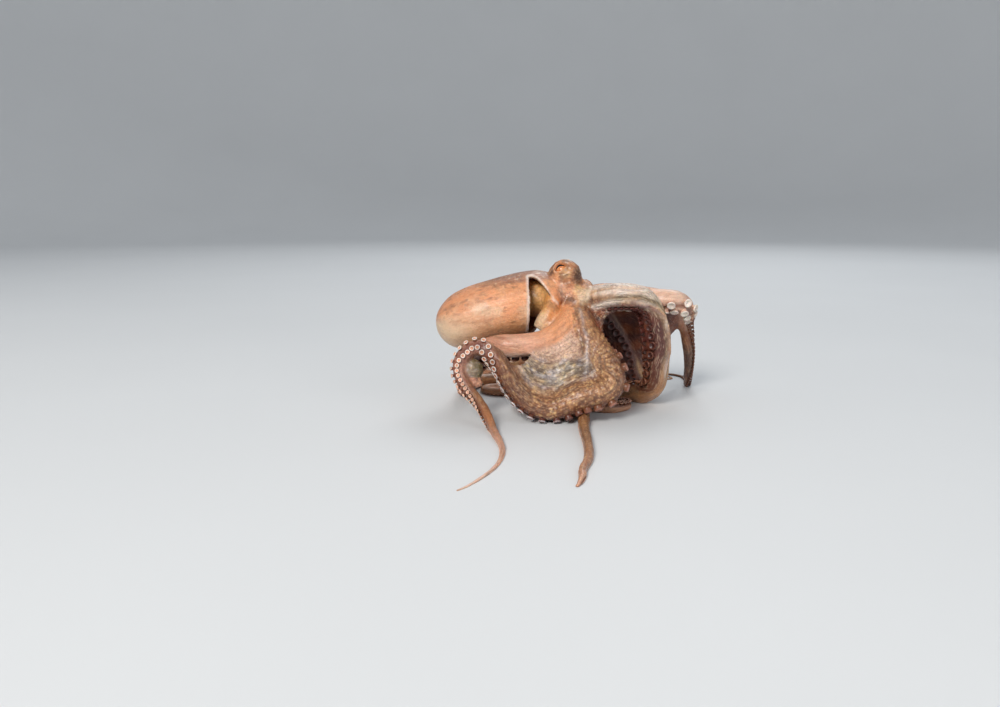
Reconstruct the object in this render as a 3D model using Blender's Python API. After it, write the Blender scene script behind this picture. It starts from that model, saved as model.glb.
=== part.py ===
"""A common octopus (Octopus vulgaris) at life size, as a still model that rests on the floor.

Frame: +X runs from the tip of the mantle towards the head, +Y away from the viewer, +Z up.
The animal lies rolled on its left side, so its right eye is uppermost and the mantle's
opening faces the viewer. Dimensions below are in millimetres; the mesh is made in metres.

How it is put together:
- The mantle is a sac with an open rim. The head is one rounded form with the eye mounds,
  the neck inside the rim and the crown that carries the eight arms.
- Each arm is a tapered tube along a smooth route, divided into lengths with thin cuts.
- A web spans each pair of neighbouring arms, trimmed to fit between them.
- Whatever touches the floor is flattened there.
"""

import math

import bmesh
import bpy
import numpy as np

MM = 0.001
GAP = 0.3                      # clearance between neighbouring pieces

# Where the box of the whole animal has its middle, in the drawing's own coordinates.
BOX_MIDDLE = (8.061, -25.178)

# ---- directions a sucker row can face -------------------------------------------------
DOWN, UP = np.array((0.0, 0.0, -1.0)), np.array((0.0, 0.0, 1.0))
LEFT, RIGHT = np.array((-1.0, 0.0, 0.0)), np.array((1.0, 0.0, 0.0))
NEAR, FAR = np.array((0.0, -1.0, 0.0)), np.array((0.0, 1.0, 0.0))

# ---- crown: the ring from which the arms spring ---------------------------------------
CROWN = np.array((6.5, 5.0, 77.0))
ROOT_RADIUS = 8.0              # how far from its middle each arm starts, inside the head
MOUTH_AXIS = np.array((0.8, 0.0, -0.6))
CROWN_TOP = np.array((0.6, 0.0, 0.8))

# ---- arms ------------------------------------------------------------------------------
ARM_SWELL = 1.35               # the taper starts this much above the arm's radius, cut off there
FLOOR_SINK = 0.8               # how far a resting arm is pressed flat

# "angle" is the arm's place round the crown, from its top towards the viewer. Each route is
# (x, y, height of the underside, way the suckers face), and its first point follows from the
# crown. "curl" is the coiled end: length, first and last radius, side.
ARMS = {
    "arm_right_2": {
        "angle": 22.5, "radius": 10.0, "taper": 1.2, "end": 0.7,
        "route": [
            (30, -12, 77.5, DOWN), (45, -17, 79.5, DOWN), (57, -17, 76.5, DOWN + NEAR / 5),
            (65.5, -15, 67.5, DOWN + LEFT + NEAR / 2), (69.5, -14, 54, LEFT + NEAR / 2),
            (71.5, -14, 39, LEFT + NEAR / 2), (72, -13, 24, LEFT), (71, -8, 9, LEFT + UP),
            (63, 4, 0, UP + FAR), (49, 13, 0, UP), (32, 12, 0, UP),
        ],
        "curl": (185, 26, 8, 1),
    },
    "arm_right_3": {
        "angle": 67.5, "radius": 11.0, "taper": 1.5, "end": 0.7,
        "route": [
            (10, -22, 57.5, RIGHT + FAR), (16, -32, 46, RIGHT + FAR), (23.5, -42, 35, RIGHT + FAR),
            (30, -51, 25.5, RIGHT), (29.5, -57, 16, RIGHT + DOWN), (19, -60, 11, RIGHT + DOWN),
            (7, -61, 8.8, DOWN), (-10, -60, 2, DOWN), (-26, -59, 4, DOWN + LEFT),
            (-39.5, -57, 16, LEFT + DOWN), (-48.5, -55, 30.5, LEFT), (-57.5, -52, 43, LEFT + NEAR),
            (-69.5, -49, 48, NEAR + UP), (-79, -49, 42, NEAR + LEFT), (-82, -51, 31.5, LEFT + NEAR),
            (-76.5, -57, 21, NEAR + LEFT), (-66, -67, 11, NEAR + LEFT + DOWN), (-58.5, -84, 2, DOWN),
            (-54.5, -104, 0, DOWN), (-51, -126, 0, DOWN), (-51, -150, 0, DOWN),
            (-57, -178, 0, DOWN), (-69, -204, 0, DOWN),
        ],
        "curl": (14, 60, 40, -1),
    },
    "arm_right_4": {
        "angle": 112.5, "radius": 9.0, "taper": 1.15, "end": 0.7,
        "route": [
            (-2, -24, 60, FAR + DOWN), (-12, -33, 51, FAR + DOWN), (-28, -38, 46, FAR + DOWN),
            (-45, -38, 45, DOWN + FAR), (-60, -32, 42, DOWN), (-73, -19, 30, DOWN),
            (-79, 0, 18, DOWN), (-80, 22, 5, DOWN), (-81, 40, 0, DOWN),
        ],
        "curl": (240, 32, 9, -1),
    },
    "arm_left_4": {
        "angle": 157.5, "radius": 8.5, "taper": 3.0, "end": 3.1,
        "route": [
            (-8, 1, 40, DOWN + RIGHT), (-16, 3, 19, DOWN + RIGHT), (-27, 1, 3, DOWN),
            (-34, -11, 0, DOWN), (-28, -25, 0, DOWN), (-14, -32, 0, DOWN), (1, -37, 0, DOWN),
            (9.5, -46, 0, DOWN), (10, -61, 0, DOWN), (8, -80, 0, DOWN), (7, -104, 0, DOWN),
            (6.5, -126, 0, DOWN), (5, -146, 0, DOWN), (2.5, -163, 0, DOWN),
            (-2, -180, 0, DOWN), (-3.5, -193, 0, DOWN), (-6, -203, 0, DOWN),
        ],
        "curl": (6, 60, 30, -1),
    },
    "arm_left_3": {
        "angle": 202.5, "radius": 10.0, "taper": 1.2, "end": 0.7,
        "route": [
            (-7, 27, 38, DOWN + RIGHT), (-11, 43, 16, DOWN + RIGHT), (-13, 62, 0, DOWN),
            (-15, 84, 0, DOWN), (-14, 110, 0, DOWN),
        ],
        "curl": (240, 38, 9, 1),
    },
    "arm_left_2": {
        "angle": 247.5, "radius": 10.0, "taper": 1.2, "end": 0.7,
        "route": [
            (9, 38, 48, DOWN + NEAR), (14, 53, 26, DOWN + NEAR), (15, 72, 4, DOWN),
            (10, 96, 0, DOWN), (5, 124, 0, DOWN),
        ],
        "curl": (225, 34, 9, -1),
    },
    "arm_left_1": {
        "angle": 292.5, "radius": 10.0, "taper": 1.4, "end": 0.7,
        "route": [
            (26, 34, 64, DOWN + NEAR), (40, 44, 48, DOWN + NEAR), (53, 52, 28, DOWN + NEAR),
            (64, 60, 8, DOWN), (72, 70, 0, DOWN),
        ],
        "curl": (215, 27, 8, 1),
    },
    "arm_right_1": {
        "angle": 337.5, "radius": 10.0, "taper": 2.0, "end": 0.7,
        "route": [
            (34, 19, 76, DOWN), (58, 22, 75, DOWN), (78.5, 13, 75, DOWN + NEAR / 2),
            (89.5, 11, 75, DOWN + NEAR + RIGHT / 2), (96.5, 15, 71.5, DOWN + NEAR + RIGHT),
            (100, 24, 64.5, NEAR + RIGHT + DOWN), (101, 31, 57.5, RIGHT + NEAR),
            (104, 36, 47, RIGHT + NEAR / 2), (107.5, 42, 33, RIGHT), (110, 50, 16, RIGHT + DOWN / 2),
            (112, 63, 1.5, DOWN + RIGHT / 2), (116.5, 84, 0, DOWN), (117, 100, 0, DOWN),
        ],
        "curl": (90, 20, 7, 1),
    },
}
ROUTE_STEP = 1.5

# Each arm's lengths: name, the share of the arm where it starts, and its rings.
ARM_LENGTHS = (("base", 0.0, 10), ("middle", 0.24, 9), ("outer", 0.48, 12), ("tip", 0.73, 12))

# Half-widths across and towards the back of an arm's section, for a radius of 1. The two
# low points are the rows of suckers, with the groove between them.
FULL_SECTION = (
    (1.0, 0.0), (0.78, 0.64), (0.27, 0.97), (-0.27, 0.97), (-0.78, 0.64), (-1.0, 0.0),
    (-0.55, -1.0), (0.0, -0.76), (0.55, -1.0),
)
SLIM_SECTION = ((1.0, 0.0), (0.6, 0.85), (-0.6, 0.85), (-1.0, 0.0), (-0.55, -0.95), (0.55, -0.95))
ROOT_NARROWING = 0.76          # width of an arm at the crown, as a share of its radius
ROOT_LENGTH = 45.0

# ---- webs: the two arms, how far each carries the web, how deep the margin is scooped, and how
# far the web lies on the viewer's side of the arms' middles ----
WEBS = {
    "web_right_1_2": ("arm_right_1", "arm_right_2", 84, 84, 0.1, 0.0),
    "web_right_2_3": ("arm_right_2", "arm_right_3", 66, 70, 0.42, -5.0),
    "web_right_3_4": ("arm_right_3", "arm_right_4", 190, 64, 0.1, 4.5),
    "web_right_4_left_4": ("arm_right_4", "arm_left_4", 48, 55, 0.3, 0.0),
    "web_left_4_3": ("arm_left_4", "arm_left_3", 58, 72, 0.2, 0.0),
    "web_left_3_2": ("arm_left_3", "arm_left_2", 84, 84, 0.16, 0.0),
    "web_left_2_1": ("arm_left_2", "arm_left_1", 90, 96, 0.16, 0.0),
    "web_left_1_right_1": ("arm_left_1", "arm_right_1", 100, 112, 0.18, 0.0),
}
WEB_THICKNESS = 2.6
WEB_CELLS = 5

# ---- mantle ------------------------------------------------------------------------------
MANTLE_FRONT = np.array((-10.0, 4.0, 82.5))
MANTLE_TIP = np.array((-103.0, 1.0, 82.5))
MANTLE_RADIUS = 26.5
MANTLE_FULLEST = 38.0          # distance of the thickest section from the front
MANTLE_NARROWING = 0.06        # how much slimmer the rim is than the thickest section
MANTLE_SAG = 16.0              # how far the axis droops between the front and the tip
MANTLE_BLUNTNESS = 3.6         # 2 would end it in an ellipse
MANTLE_NECK, NECK_LENGTH = 5.5, 20.0   # how much it draws in where it meets the head, over this length
MANTLE_WALL = 2.8
MANTLE_POCKET = 52.0           # depth of the cavity behind the rim
# The rim of the opening on the viewer's side, and where the mantle ends round the rest of the neck.
RIM_NEAR, RIM_FAR = 21.0, -5.0
RIM_MIDDLE = -10.0             # degrees above level of the middle of the opening
RIM_OPEN, RIM_CLOSED = 72.0, 95.0      # degrees to either side where it starts and ends to close
RIM_TWIST = 78.0               # degrees by which its edges turn towards the viewer at the neck

# ---- head: rounded forms (centre, half-lengths, tilt of the long axes) --------------------
UPRIGHT = np.eye(3)
CROWN_TILT = np.array((MOUTH_AXIS, CROWN_TOP, np.cross(MOUTH_AXIS, CROWN_TOP)))
RIGHT_MOUND = np.array((-1.0, -2.0, 104.0))
LEFT_MOUND = np.array((-2.0, 26.0, 83.0))
HEAD_FORMS = (
    (np.array((-4.0, 5.0, 87.0)), (16.0, 16.0, 16.0), UPRIGHT),
    (CROWN - 2.0 * MOUTH_AXIS, (12.0, 25.0, 24.0), CROWN_TILT),
    (np.array((-20.0, 10.0, 84.0)), (22.0, 14.0, 15.0), UPRIGHT),
    (RIGHT_MOUND, (12.5, 11.5, 12.5), UPRIGHT),
    (LEFT_MOUND, (12.0, 11.0, 11.0), UPRIGHT),
)
HEAD_CENTRE = np.array((0.0, 6.0, 84.0))
HEAD_BLEND = 5.0               # how softly the forms run into one another
HEAD_ROUND, HEAD_TALL = 20, 14

# ---- eyes ----------------------------------------------------------------------------------
EYE_RADIUS = 6.0
EYE_SET = 6.5                  # from the middle of a mound to the middle of its eye
EYES = {
    "eye_right": (RIGHT_MOUND, np.array((-0.40, -0.72, 0.57))),
    "eye_left": (LEFT_MOUND, np.array((-0.40, 0.88, 0.25))),
}

# ---- funnel: (x, y, z, radius) along it, then the hole in its end ---------------------------
FUNNEL = (
    (-10, -5, 94, 4.5), (-11, -8.5, 88, 5.6), (-12.5, -15.5, 79, 7.0), (-15, -17, 71, 7.8),
    (-18.5, -17, 63.5, 7.6),
)
FUNNEL_BORE = 3.6
FUNNEL_BORE_DEPTH = 12.0

COLOURS = {                    # base colour, roughness
    "skin": ((0.62, 0.33, 0.19, 1.0), 0.45),
    "web": ((0.48, 0.30, 0.19, 1.0), 0.5),
    "funnel": ((0.78, 0.42, 0.15, 1.0), 0.4),
    "eye": ((0.70, 0.30, 0.16, 1.0), 0.15),
}


# ---- curves ----------------------------------------------------------------------------------
def spline(rows, count):
    """A natural cubic spline through rows of numbers, read at count even places."""
    p = np.array(rows, float)
    last = len(p) - 1
    t = np.concatenate(([0.0], np.cumsum(np.linalg.norm(np.diff(p[:, :3], axis=0), axis=1) ** 0.5)))
    h = np.diff(t)
    system, right = np.eye(last + 1), np.zeros_like(p)
    for i in range(1, last):
        system[i, i - 1:i + 2] = h[i - 1], 2 * (h[i - 1] + h[i]), h[i]
        right[i] = 6 * ((p[i + 1] - p[i]) / h[i] - (p[i] - p[i - 1]) / h[i - 1])
    m = np.linalg.solve(system, right)
    x = np.linspace(0, t[-1], count)
    k = np.clip(np.searchsorted(t, x, side="right") - 1, 0, last - 1)
    a, b, w = (x - t[k])[:, None], (t[k + 1] - x)[:, None], h[k][:, None]
    return (m[k] * b**3 + m[k + 1] * a**3) / (6 * w) + (p[k] / w - m[k] * w / 6) * b + (
        p[k + 1] / w - m[k + 1] * w / 6) * a


def evenly(rows, step):
    """Rows of numbers read again at even steps of the length of their first three."""
    along = np.concatenate(([0.0], np.cumsum(np.linalg.norm(np.diff(rows[:, :3], axis=0), axis=1))))
    places = np.linspace(0, along[-1], max(2, int(along[-1] / step)))
    return np.stack([np.interp(places, along, column) for column in rows.T], axis=1)


def coil(start, heading, length, first_radius, last_radius, side):
    """A flat spiral on the floor: its heading turns ever faster as its radius shrinks."""
    steps = int(length / ROUTE_STEP)
    radius = first_radius * (last_radius / first_radius) ** np.linspace(0, 1, steps)
    angle = math.atan2(heading[1], heading[0]) + side * np.cumsum(ROUTE_STEP / radius)
    rows = np.zeros((steps, 6))
    rows[:, 0] = start[0] + np.cumsum(np.cos(angle)) * ROUTE_STEP
    rows[:, 1] = start[1] + np.cumsum(np.sin(angle)) * ROUTE_STEP
    rows[:, 3:] = start[3:]
    return rows


def arm_radius(share, largest, taper, end):
    """The radius at a share of the arm's length: even near the root, then a whip-like taper, and
    rounded off at the end."""
    whip = ARM_SWELL * largest * (1 - share) ** taper + end * np.sqrt(1.04 - share**12)
    return (whip + largest - np.sqrt((whip - largest) ** 2 + 1.5)) / 2


class Arm:
    """The line of an arm: its centre points, the way each one's suckers face, and its radius."""

    def __init__(self, angle, radius, taper, end, route, curl):
        turn = math.radians(angle)
        way = math.cos(turn) * CROWN_TOP + math.sin(turn) * NEAR
        root = CROWN + ROOT_RADIUS * way - UP * radius
        rows = [(*root, *MOUTH_AXIS)]
        rows += [(x, y, rise, *(way / np.linalg.norm(way))) for x, y, rise, way in route]
        line = evenly(spline(rows, 600), ROUTE_STEP)
        line = np.vstack((line, coil(line[-1], line[-1] - line[-2], *curl)))
        line = evenly(line, ROUTE_STEP)
        self.share = np.linspace(0, 1, len(line))
        self.radius = arm_radius(self.share, radius, taper, end)
        self.centre = line[:, :3].copy()
        self.centre[:, 2] = np.maximum(line[:, 2], 0) + self.radius
        resting = np.clip(1 - line[:, 2] / 3, 0, 1)
        self.centre[:, 2] -= FLOOR_SINK * resting * np.minimum(1, self.radius / 3)
        self.length = np.linalg.norm(np.diff(self.centre, axis=0), axis=1).sum()
        self.tangent = np.gradient(self.centre, axis=0)
        self.tangent /= np.linalg.norm(self.tangent, axis=1)[:, None]
        facing = line[:, 3:] - np.sum(line[:, 3:] * self.tangent, 1)[:, None] * self.tangent
        self.facing = facing / np.linalg.norm(facing, axis=1)[:, None]

    def at(self, share, values):
        """Values of the arm read at any shares of its length."""
        return np.stack([np.interp(share, self.share, column) for column in values.T], axis=-1)

    def rings(self, share, section, grow=0.0):
        """Points of a ring at each of the shares of the length."""
        centre, facing = self.at(share, self.centre), self.at(share, self.facing)
        across = np.cross(self.at(share, self.tangent), facing)
        across /= np.linalg.norm(across, axis=1)[:, None]
        radius = np.interp(share, self.share, self.radius) + grow
        width = ROOT_NARROWING + (1 - ROOT_NARROWING) * np.clip(share * self.length / ROOT_LENGTH, 0, 1)
        side, back = np.array(section).T
        return (centre[:, None]
                + across[:, None] * (radius * width)[:, None, None] * side[None, :, None]
                - facing[:, None] * radius[:, None, None] * back[None, :, None])


# ---- meshes ------------------------------------------------------------------------------------
def to_floor(points):
    """Presses whatever would go under the floor flat on to it."""
    pressed = points.copy()
    pressed[..., 2] = np.maximum(pressed[..., 2], 0)
    return pressed


def add_mesh(name, points, faces, colour="skin"):
    """A named object from points in millimetres, shaded smooth."""
    mesh = bpy.data.meshes.new(name)
    placed = np.array(points, float).reshape(-1, 3) - (*BOX_MIDDLE, 0)
    mesh.from_pydata((placed * MM).tolist(), [], faces)
    mesh.materials.append(material(colour))
    mesh.shade_smooth()
    body = bpy.data.objects.new(name, mesh)
    bpy.context.scene.collection.objects.link(body)
    return body


def material(name):
    """The Principled BSDF of a slot, made once."""
    found = bpy.data.materials.get(name)
    if found:
        return found
    made = bpy.data.materials.new(name)
    made.use_nodes = True
    shader = made.node_tree.nodes["Principled BSDF"]
    shader.inputs["Base Color"].default_value = COLOURS[name][0]
    shader.inputs["Roughness"].default_value = COLOURS[name][1]
    return made


def tube_faces(rings, around):
    """Quads between rings that run the same way round, with a flat cap at each end."""
    faces = []
    for i in range(rings - 1):
        for j in range(around):
            k = (j + 1) % around
            faces.append((i * around + j, i * around + k, (i + 1) * around + k, (i + 1) * around + j))
    faces.append(tuple(reversed(range(around))))
    faces.append(tuple(range((rings - 1) * around, rings * around)))
    return faces


def outward(body):
    """Turns all the faces of a closed mesh outwards, as flat triangles."""
    work = bmesh.new()
    work.from_mesh(body.data)
    bmesh.ops.recalc_face_normals(work, faces=work.faces)
    bmesh.ops.triangulate(work, faces=work.faces)
    work.to_mesh(body.data)
    work.free()
    return body


def add_rings(name, rings, colour="skin"):
    """A closed tube through rings of points."""
    count, around = rings.shape[:2]
    return outward(add_mesh(name, rings, tube_faces(count, around), colour))


def largest_part(mesh):
    """Leaves only the largest of a mesh's separate parts."""
    work = bmesh.new()
    work.from_mesh(mesh)
    unseen, parts = set(work.verts), []
    while unseen:
        part, todo = set(), [unseen.pop()]
        while todo:
            v = todo.pop()
            part.add(v)
            for edge in v.link_edges:
                other = edge.other_vert(v)
                if other in unseen:
                    unseen.discard(other)
                    todo.append(other)
        parts.append(part)
    parts.sort(key=lambda part: sum(np.ptp([v.co for v in part], axis=0)))
    bmesh.ops.delete(work, geom=[v for part in parts[:-1] for v in part], context="VERTS")
    work.to_mesh(mesh)
    work.free()


def carve(body, cutters):
    """Cuts the cutters out of a body and keeps what is left as one piece."""
    for cutter in cutters:
        cut = body.modifiers.new("cut", "BOOLEAN")
        cut.operation, cut.solver = "DIFFERENCE", "EXACT"
        cut.object = cutter
    carved = bpy.data.meshes.new_from_object(body.evaluated_get(bpy.context.evaluated_depsgraph_get()))
    body.modifiers.clear()
    body.data = carved
    largest_part(carved)
    carved.shade_smooth()
    return body


def discard(bodies):
    for body in bodies:
        bpy.data.objects.remove(body)


# ---- arms and webs ---------------------------------------------------------------------------
def arm_shares(arm, part):
    """Where a length of an arm has its rings: half a gap inside its ends."""
    ends = [start for _, start, _ in ARM_LENGTHS] + [1.0]
    half = GAP / 2 / arm.length
    return np.linspace(ends[part] + half, ends[part + 1] - half, ARM_LENGTHS[part][2])


def add_arm(name, arm, cutters):
    """An arm in its lengths. The first is cut to the head and to its neighbour at the crown."""
    for part, (suffix, _, _) in enumerate(ARM_LENGTHS):
        section = FULL_SECTION if part < 2 else SLIM_SECTION
        body = add_rings(f"{name}_{suffix}", to_floor(arm.rings(arm_shares(arm, part), section)))
        if part == 0:
            carve(body, cutters)


def add_sleeve(name, arm):
    """A cutter that clears the first half of an arm."""
    shares = np.concatenate((arm_shares(arm, 0), arm_shares(arm, 1)))
    return add_rings(name + "_sleeve", arm.rings(shares, FULL_SECTION, GAP))


def add_web(name, first, second, reach_first, reach_second, scoop, lift, cutters):
    """A web: straight lines from arm to arm, read further along both arms towards its margin.
    Half-way across, the margin lies nearer to the crown by the scoop."""
    across, along = np.meshgrid(np.linspace(0, 1, WEB_CELLS + 1), np.linspace(0, 1, WEB_CELLS + 1))
    held = 1 - scoop * np.sin(np.pi * across)
    start = first.at(along * held * reach_first / first.length, first.centre)
    end = second.at(along * held * reach_second / second.length, second.centre)
    sheet = start + (end - start) * across[..., None] + NEAR * lift
    normal = np.cross(np.gradient(sheet, axis=0), np.gradient(sheet, axis=1))
    normal /= np.maximum(np.linalg.norm(normal, axis=2), 1e-6)[..., None]
    faces, size = [], WEB_CELLS + 1
    front, back = np.arange(size * size).reshape(size, size), np.arange(size * size, 2 * size * size)
    back = back.reshape(size, size)
    for i in range(WEB_CELLS):
        for j in range(WEB_CELLS):
            faces.append((front[i, j], front[i, j + 1], front[i + 1, j + 1], front[i + 1, j]))
            faces.append((back[i, j], back[i + 1, j], back[i + 1, j + 1], back[i, j + 1]))
    rim = [*front[0, :-1], *front[:-1, -1], *front[-1, :0:-1], *front[:0:-1, 0]]
    other = [*back[0, :-1], *back[:-1, -1], *back[-1, :0:-1], *back[:0:-1, 0]]
    for k in range(len(rim)):
        n = (k + 1) % len(rim)
        faces.append((rim[n], rim[k], other[k], other[n]))
    half = normal * WEB_THICKNESS / 2
    points = to_floor(np.stack((sheet + half, sheet - half)))
    faces = [tuple(int(i) for i in face) for face in faces]
    return carve(outward(add_mesh(name, points, faces, "web")), cutters)


# ---- head --------------------------------------------------------------------------------------
def head_distance(points):
    """Roughly how far points lie outside the head's rounded forms, blended into one."""
    total = 0.0
    for centre, half, tilt in HEAD_FORMS:
        local = (points - centre) @ tilt.T / half
        near, scaled = np.linalg.norm(local, axis=-1), np.linalg.norm(local / half, axis=-1)
        total = total + np.exp(-near * (near - 1) / np.maximum(scaled, 1e-9) / (HEAD_BLEND / 2))
    return -HEAD_BLEND / 2 * np.log(total)


def sphere_ways(around, tall):
    """Unit vectors to the rings of a globe, and its two poles last."""
    polar = np.pi * np.arange(1, tall) / tall
    turn = 2 * np.pi * np.arange(around) / around
    polar, turn = np.meshgrid(polar, turn, indexing="ij")
    ways = np.stack((np.sin(polar) * np.cos(turn), np.sin(polar) * np.sin(turn), np.cos(polar)), -1)
    return np.vstack((ways.reshape(-1, 3), ((0, 0, 1), (0, 0, -1))))


def globe_faces(around, tall):
    faces = []
    rows, top = tall - 1, (tall - 1) * around
    for j in range(around):
        k = (j + 1) % around
        faces.append((top, j, k))
        faces.append((top + 1, (rows - 1) * around + k, (rows - 1) * around + j))
        for i in range(rows - 1):
            faces.append((i * around + j, (i + 1) * around + j, (i + 1) * around + k, i * around + k))
    return faces


def head_points(ways, grow):
    """Where rays from the head's centre leave it, found by halving, then moved out by grow."""
    near, far = np.zeros(len(ways)), np.full(len(ways), 70.0)
    for _ in range(30):
        middle = (near + far) / 2
        outside = head_distance(HEAD_CENTRE + ways * middle[:, None]) > 0
        near, far = np.where(outside, near, middle), np.where(outside, middle, far)
    return HEAD_CENTRE + ways * (near + grow)[:, None]


def add_head(name, grow=0.0):
    faces = globe_faces(HEAD_ROUND, HEAD_TALL)
    return outward(add_mesh(name, head_points(sphere_ways(HEAD_ROUND, HEAD_TALL), grow), faces))


def add_eye(name, mound, way, grow=0.0):
    centre = mound + EYE_SET * way / np.linalg.norm(way)
    points = centre + (EYE_RADIUS + grow) * sphere_ways(12, 8)
    return outward(add_mesh(name, points, globe_faces(12, 8), "eye"))


# ---- mantle ------------------------------------------------------------------------------------
def mantle_frame():
    """Unit vectors along the mantle, towards the viewer and up across it, and its length."""
    along = MANTLE_TIP - MANTLE_FRONT
    length = np.linalg.norm(along)
    along = along / length
    side = np.cross(along, UP)
    side /= np.linalg.norm(side)
    if side @ NEAR < 0:
        side = -side
    rise = np.cross(along, side)
    return along, side, rise * np.sign(rise[2]), length


def mantle_centre(t):
    """The mantle's axis: level at both ends, with an even droop between them."""
    along, _, rise, length = mantle_frame()
    t = np.asarray(t, float)[..., None]
    share = np.clip(t / length, 0, 1)
    return MANTLE_FRONT + along * t - rise * MANTLE_SAG * share**2 * (3 - 2 * share)


def mantle_radius(t, length):
    """A blunt egg: rounded off like a superellipse behind, a little slimmer towards the rim."""
    behind = np.clip((t - MANTLE_FULLEST) / (length - MANTLE_FULLEST), 0, 1)
    before = np.clip((MANTLE_FULLEST - t) / MANTLE_FULLEST, 0, 2)
    neck = np.clip((NECK_LENGTH + RIM_FAR - t) / NECK_LENGTH, 0, 1)
    egg = MANTLE_RADIUS * (1 - behind**MANTLE_BLUNTNESS) ** 0.5 * (1 - MANTLE_NARROWING * before**2)
    return egg - MANTLE_NECK * neck**2


def eased(value):
    value = np.clip(value, 0, 1)
    return value * value * (3 - 2 * value)


def mantle_rim(turn):
    """Where the rim lies along the mantle, for each of its lengthwise lines."""
    off = np.abs((np.degrees(turn) - RIM_MIDDLE + 180) % 360 - 180)
    return RIM_NEAR + (RIM_FAR - RIM_NEAR) * eased((off - RIM_OPEN) / (RIM_CLOSED - RIM_OPEN))


def mantle_twist(t):
    """How far the lengthwise lines have turned towards the viewer in front of the opening's rim."""
    return math.radians(RIM_TWIST) * eased((RIM_NEAR - t) / (RIM_NEAR - RIM_FAR))


def add_mantle(name, cutters, around=20, outer=8, inner=4):
    """One closed surface: from the tip over the outside to the rim, and back inside to the
    end of the cavity. It opens on the viewer's side and closes on the neck elsewhere."""
    along, side, rise, length = mantle_frame()
    turn = 2 * np.pi * np.arange(around) / around
    rim = mantle_rim(turn)
    outline = [(length - (length - rim) * (1 - math.cos(math.pi / 2 * k / outer)), 0.0)
               for k in range(1, outer + 1)]
    outline += [(rim - 0.6, MANTLE_WALL * 0.5)]
    outline += [(rim + (MANTLE_POCKET - rim) * math.sin(math.pi / 2 * k / inner), MANTLE_WALL)
                for k in range(inner)]
    rings = []
    for t, wall in outline:
        radius = mantle_radius(t, length) - wall
        if wall == MANTLE_WALL:
            radius = radius * np.sqrt(np.clip(1 - ((t - rim) / (MANTLE_POCKET - rim)) ** 3, 0, 1))
        rings.append(mantle_centre(t) + radius[:, None] * (
            side * np.cos(turn - mantle_twist(t))[:, None] + rise * np.sin(turn - mantle_twist(t))[:, None]))
    count = len(rings)
    poles = mantle_centre([length, MANTLE_POCKET])
    points = np.vstack((np.concatenate(rings), poles))
    faces = tube_faces(count, around)[:-2]
    for j in range(around):
        k = (j + 1) % around
        faces.append((count * around, k, j))
        faces.append((count * around + 1, (count - 1) * around + j, (count - 1) * around + k))
    return carve(outward(add_mesh(name, points, faces)), cutters)


# ---- funnel ------------------------------------------------------------------------------------
def add_funnel(name, cutters, grow=0.0, around=9, count=7):
    """The funnel: a bent tube of changing radius, with a bore in its free end."""
    line = spline(FUNNEL, count)
    centre, radius = line[:, :3], line[:, 3] + grow
    tangent = np.gradient(centre, axis=0)
    tangent /= np.linalg.norm(tangent, axis=1)[:, None]
    across = np.cross(tangent, NEAR)
    across /= np.linalg.norm(across, axis=1)[:, None]
    other = np.cross(tangent, across)
    turn = 2 * np.pi * np.arange(around) / around
    ring = across[:, None] * np.cos(turn)[None, :, None] + other[:, None] * np.sin(turn)[None, :, None]
    body = add_rings(name, centre[:, None] + ring * radius[:, None, None], "funnel")
    if grow:
        return body
    ends = np.array((centre[-1] + tangent[-1] * 2, centre[-1] - tangent[-1] * FUNNEL_BORE_DEPTH))
    bore = add_rings("bore", ends[:, None] + ring[-1][None] * FUNNEL_BORE)
    carve(body, [bore, *cutters])
    discard([bore])
    return body


def main():
    for old in list(bpy.data.objects):
        bpy.data.objects.remove(old)
    arms = {name: Arm(**facts) for name, facts in ARMS.items()}
    head_cutter = add_head("head_cutter", GAP)
    sockets = [add_eye(name + "_socket", *facts, grow=GAP) for name, facts in EYES.items()]
    carve(add_head("head"), sockets)
    for name, facts in EYES.items():
        add_eye(name, *facts)
    sleeves = {name: add_sleeve(name, arm) for name, arm in arms.items()}
    made = []
    for name, arm in arms.items():
        add_arm(name, arm, [head_cutter, *made[-1:], *made[:1 if name == "arm_right_1" else 0]])
        made.append(sleeves[name])
    for name, (first, second, *facts) in WEBS.items():
        add_web(name, arms[first], arms[second], *facts, [head_cutter, sleeves[first], sleeves[second]])
    funnel_cutter = add_funnel("funnel_cutter", [], GAP)
    add_mantle("mantle", [head_cutter, funnel_cutter, *sleeves.values()])
    add_funnel("funnel", [head_cutter, sleeves["arm_right_4"]])
    discard([head_cutter, funnel_cutter, *sockets, *sleeves.values()])


main()
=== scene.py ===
"""A common octopus (Octopus vulgaris) at life size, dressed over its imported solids.

One skin of flesh covers all the solids but the eyes. It is made from smooth surfaces (arms, webs, head,
mantle and funnel) that are fused into one mesh, folded and pebbled, and coloured point by point. The
suckers are cups set in two rows along every arm, and the eyes are globes with a crescent pupil.

Lengths are in millimetres in the animal's drawing, whose origin lies at (-8, 26, 0) mm in the frame:
+X runs from the tip of the mantle towards the head, +Y away from the viewer, +Z up.
"""

import math

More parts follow.
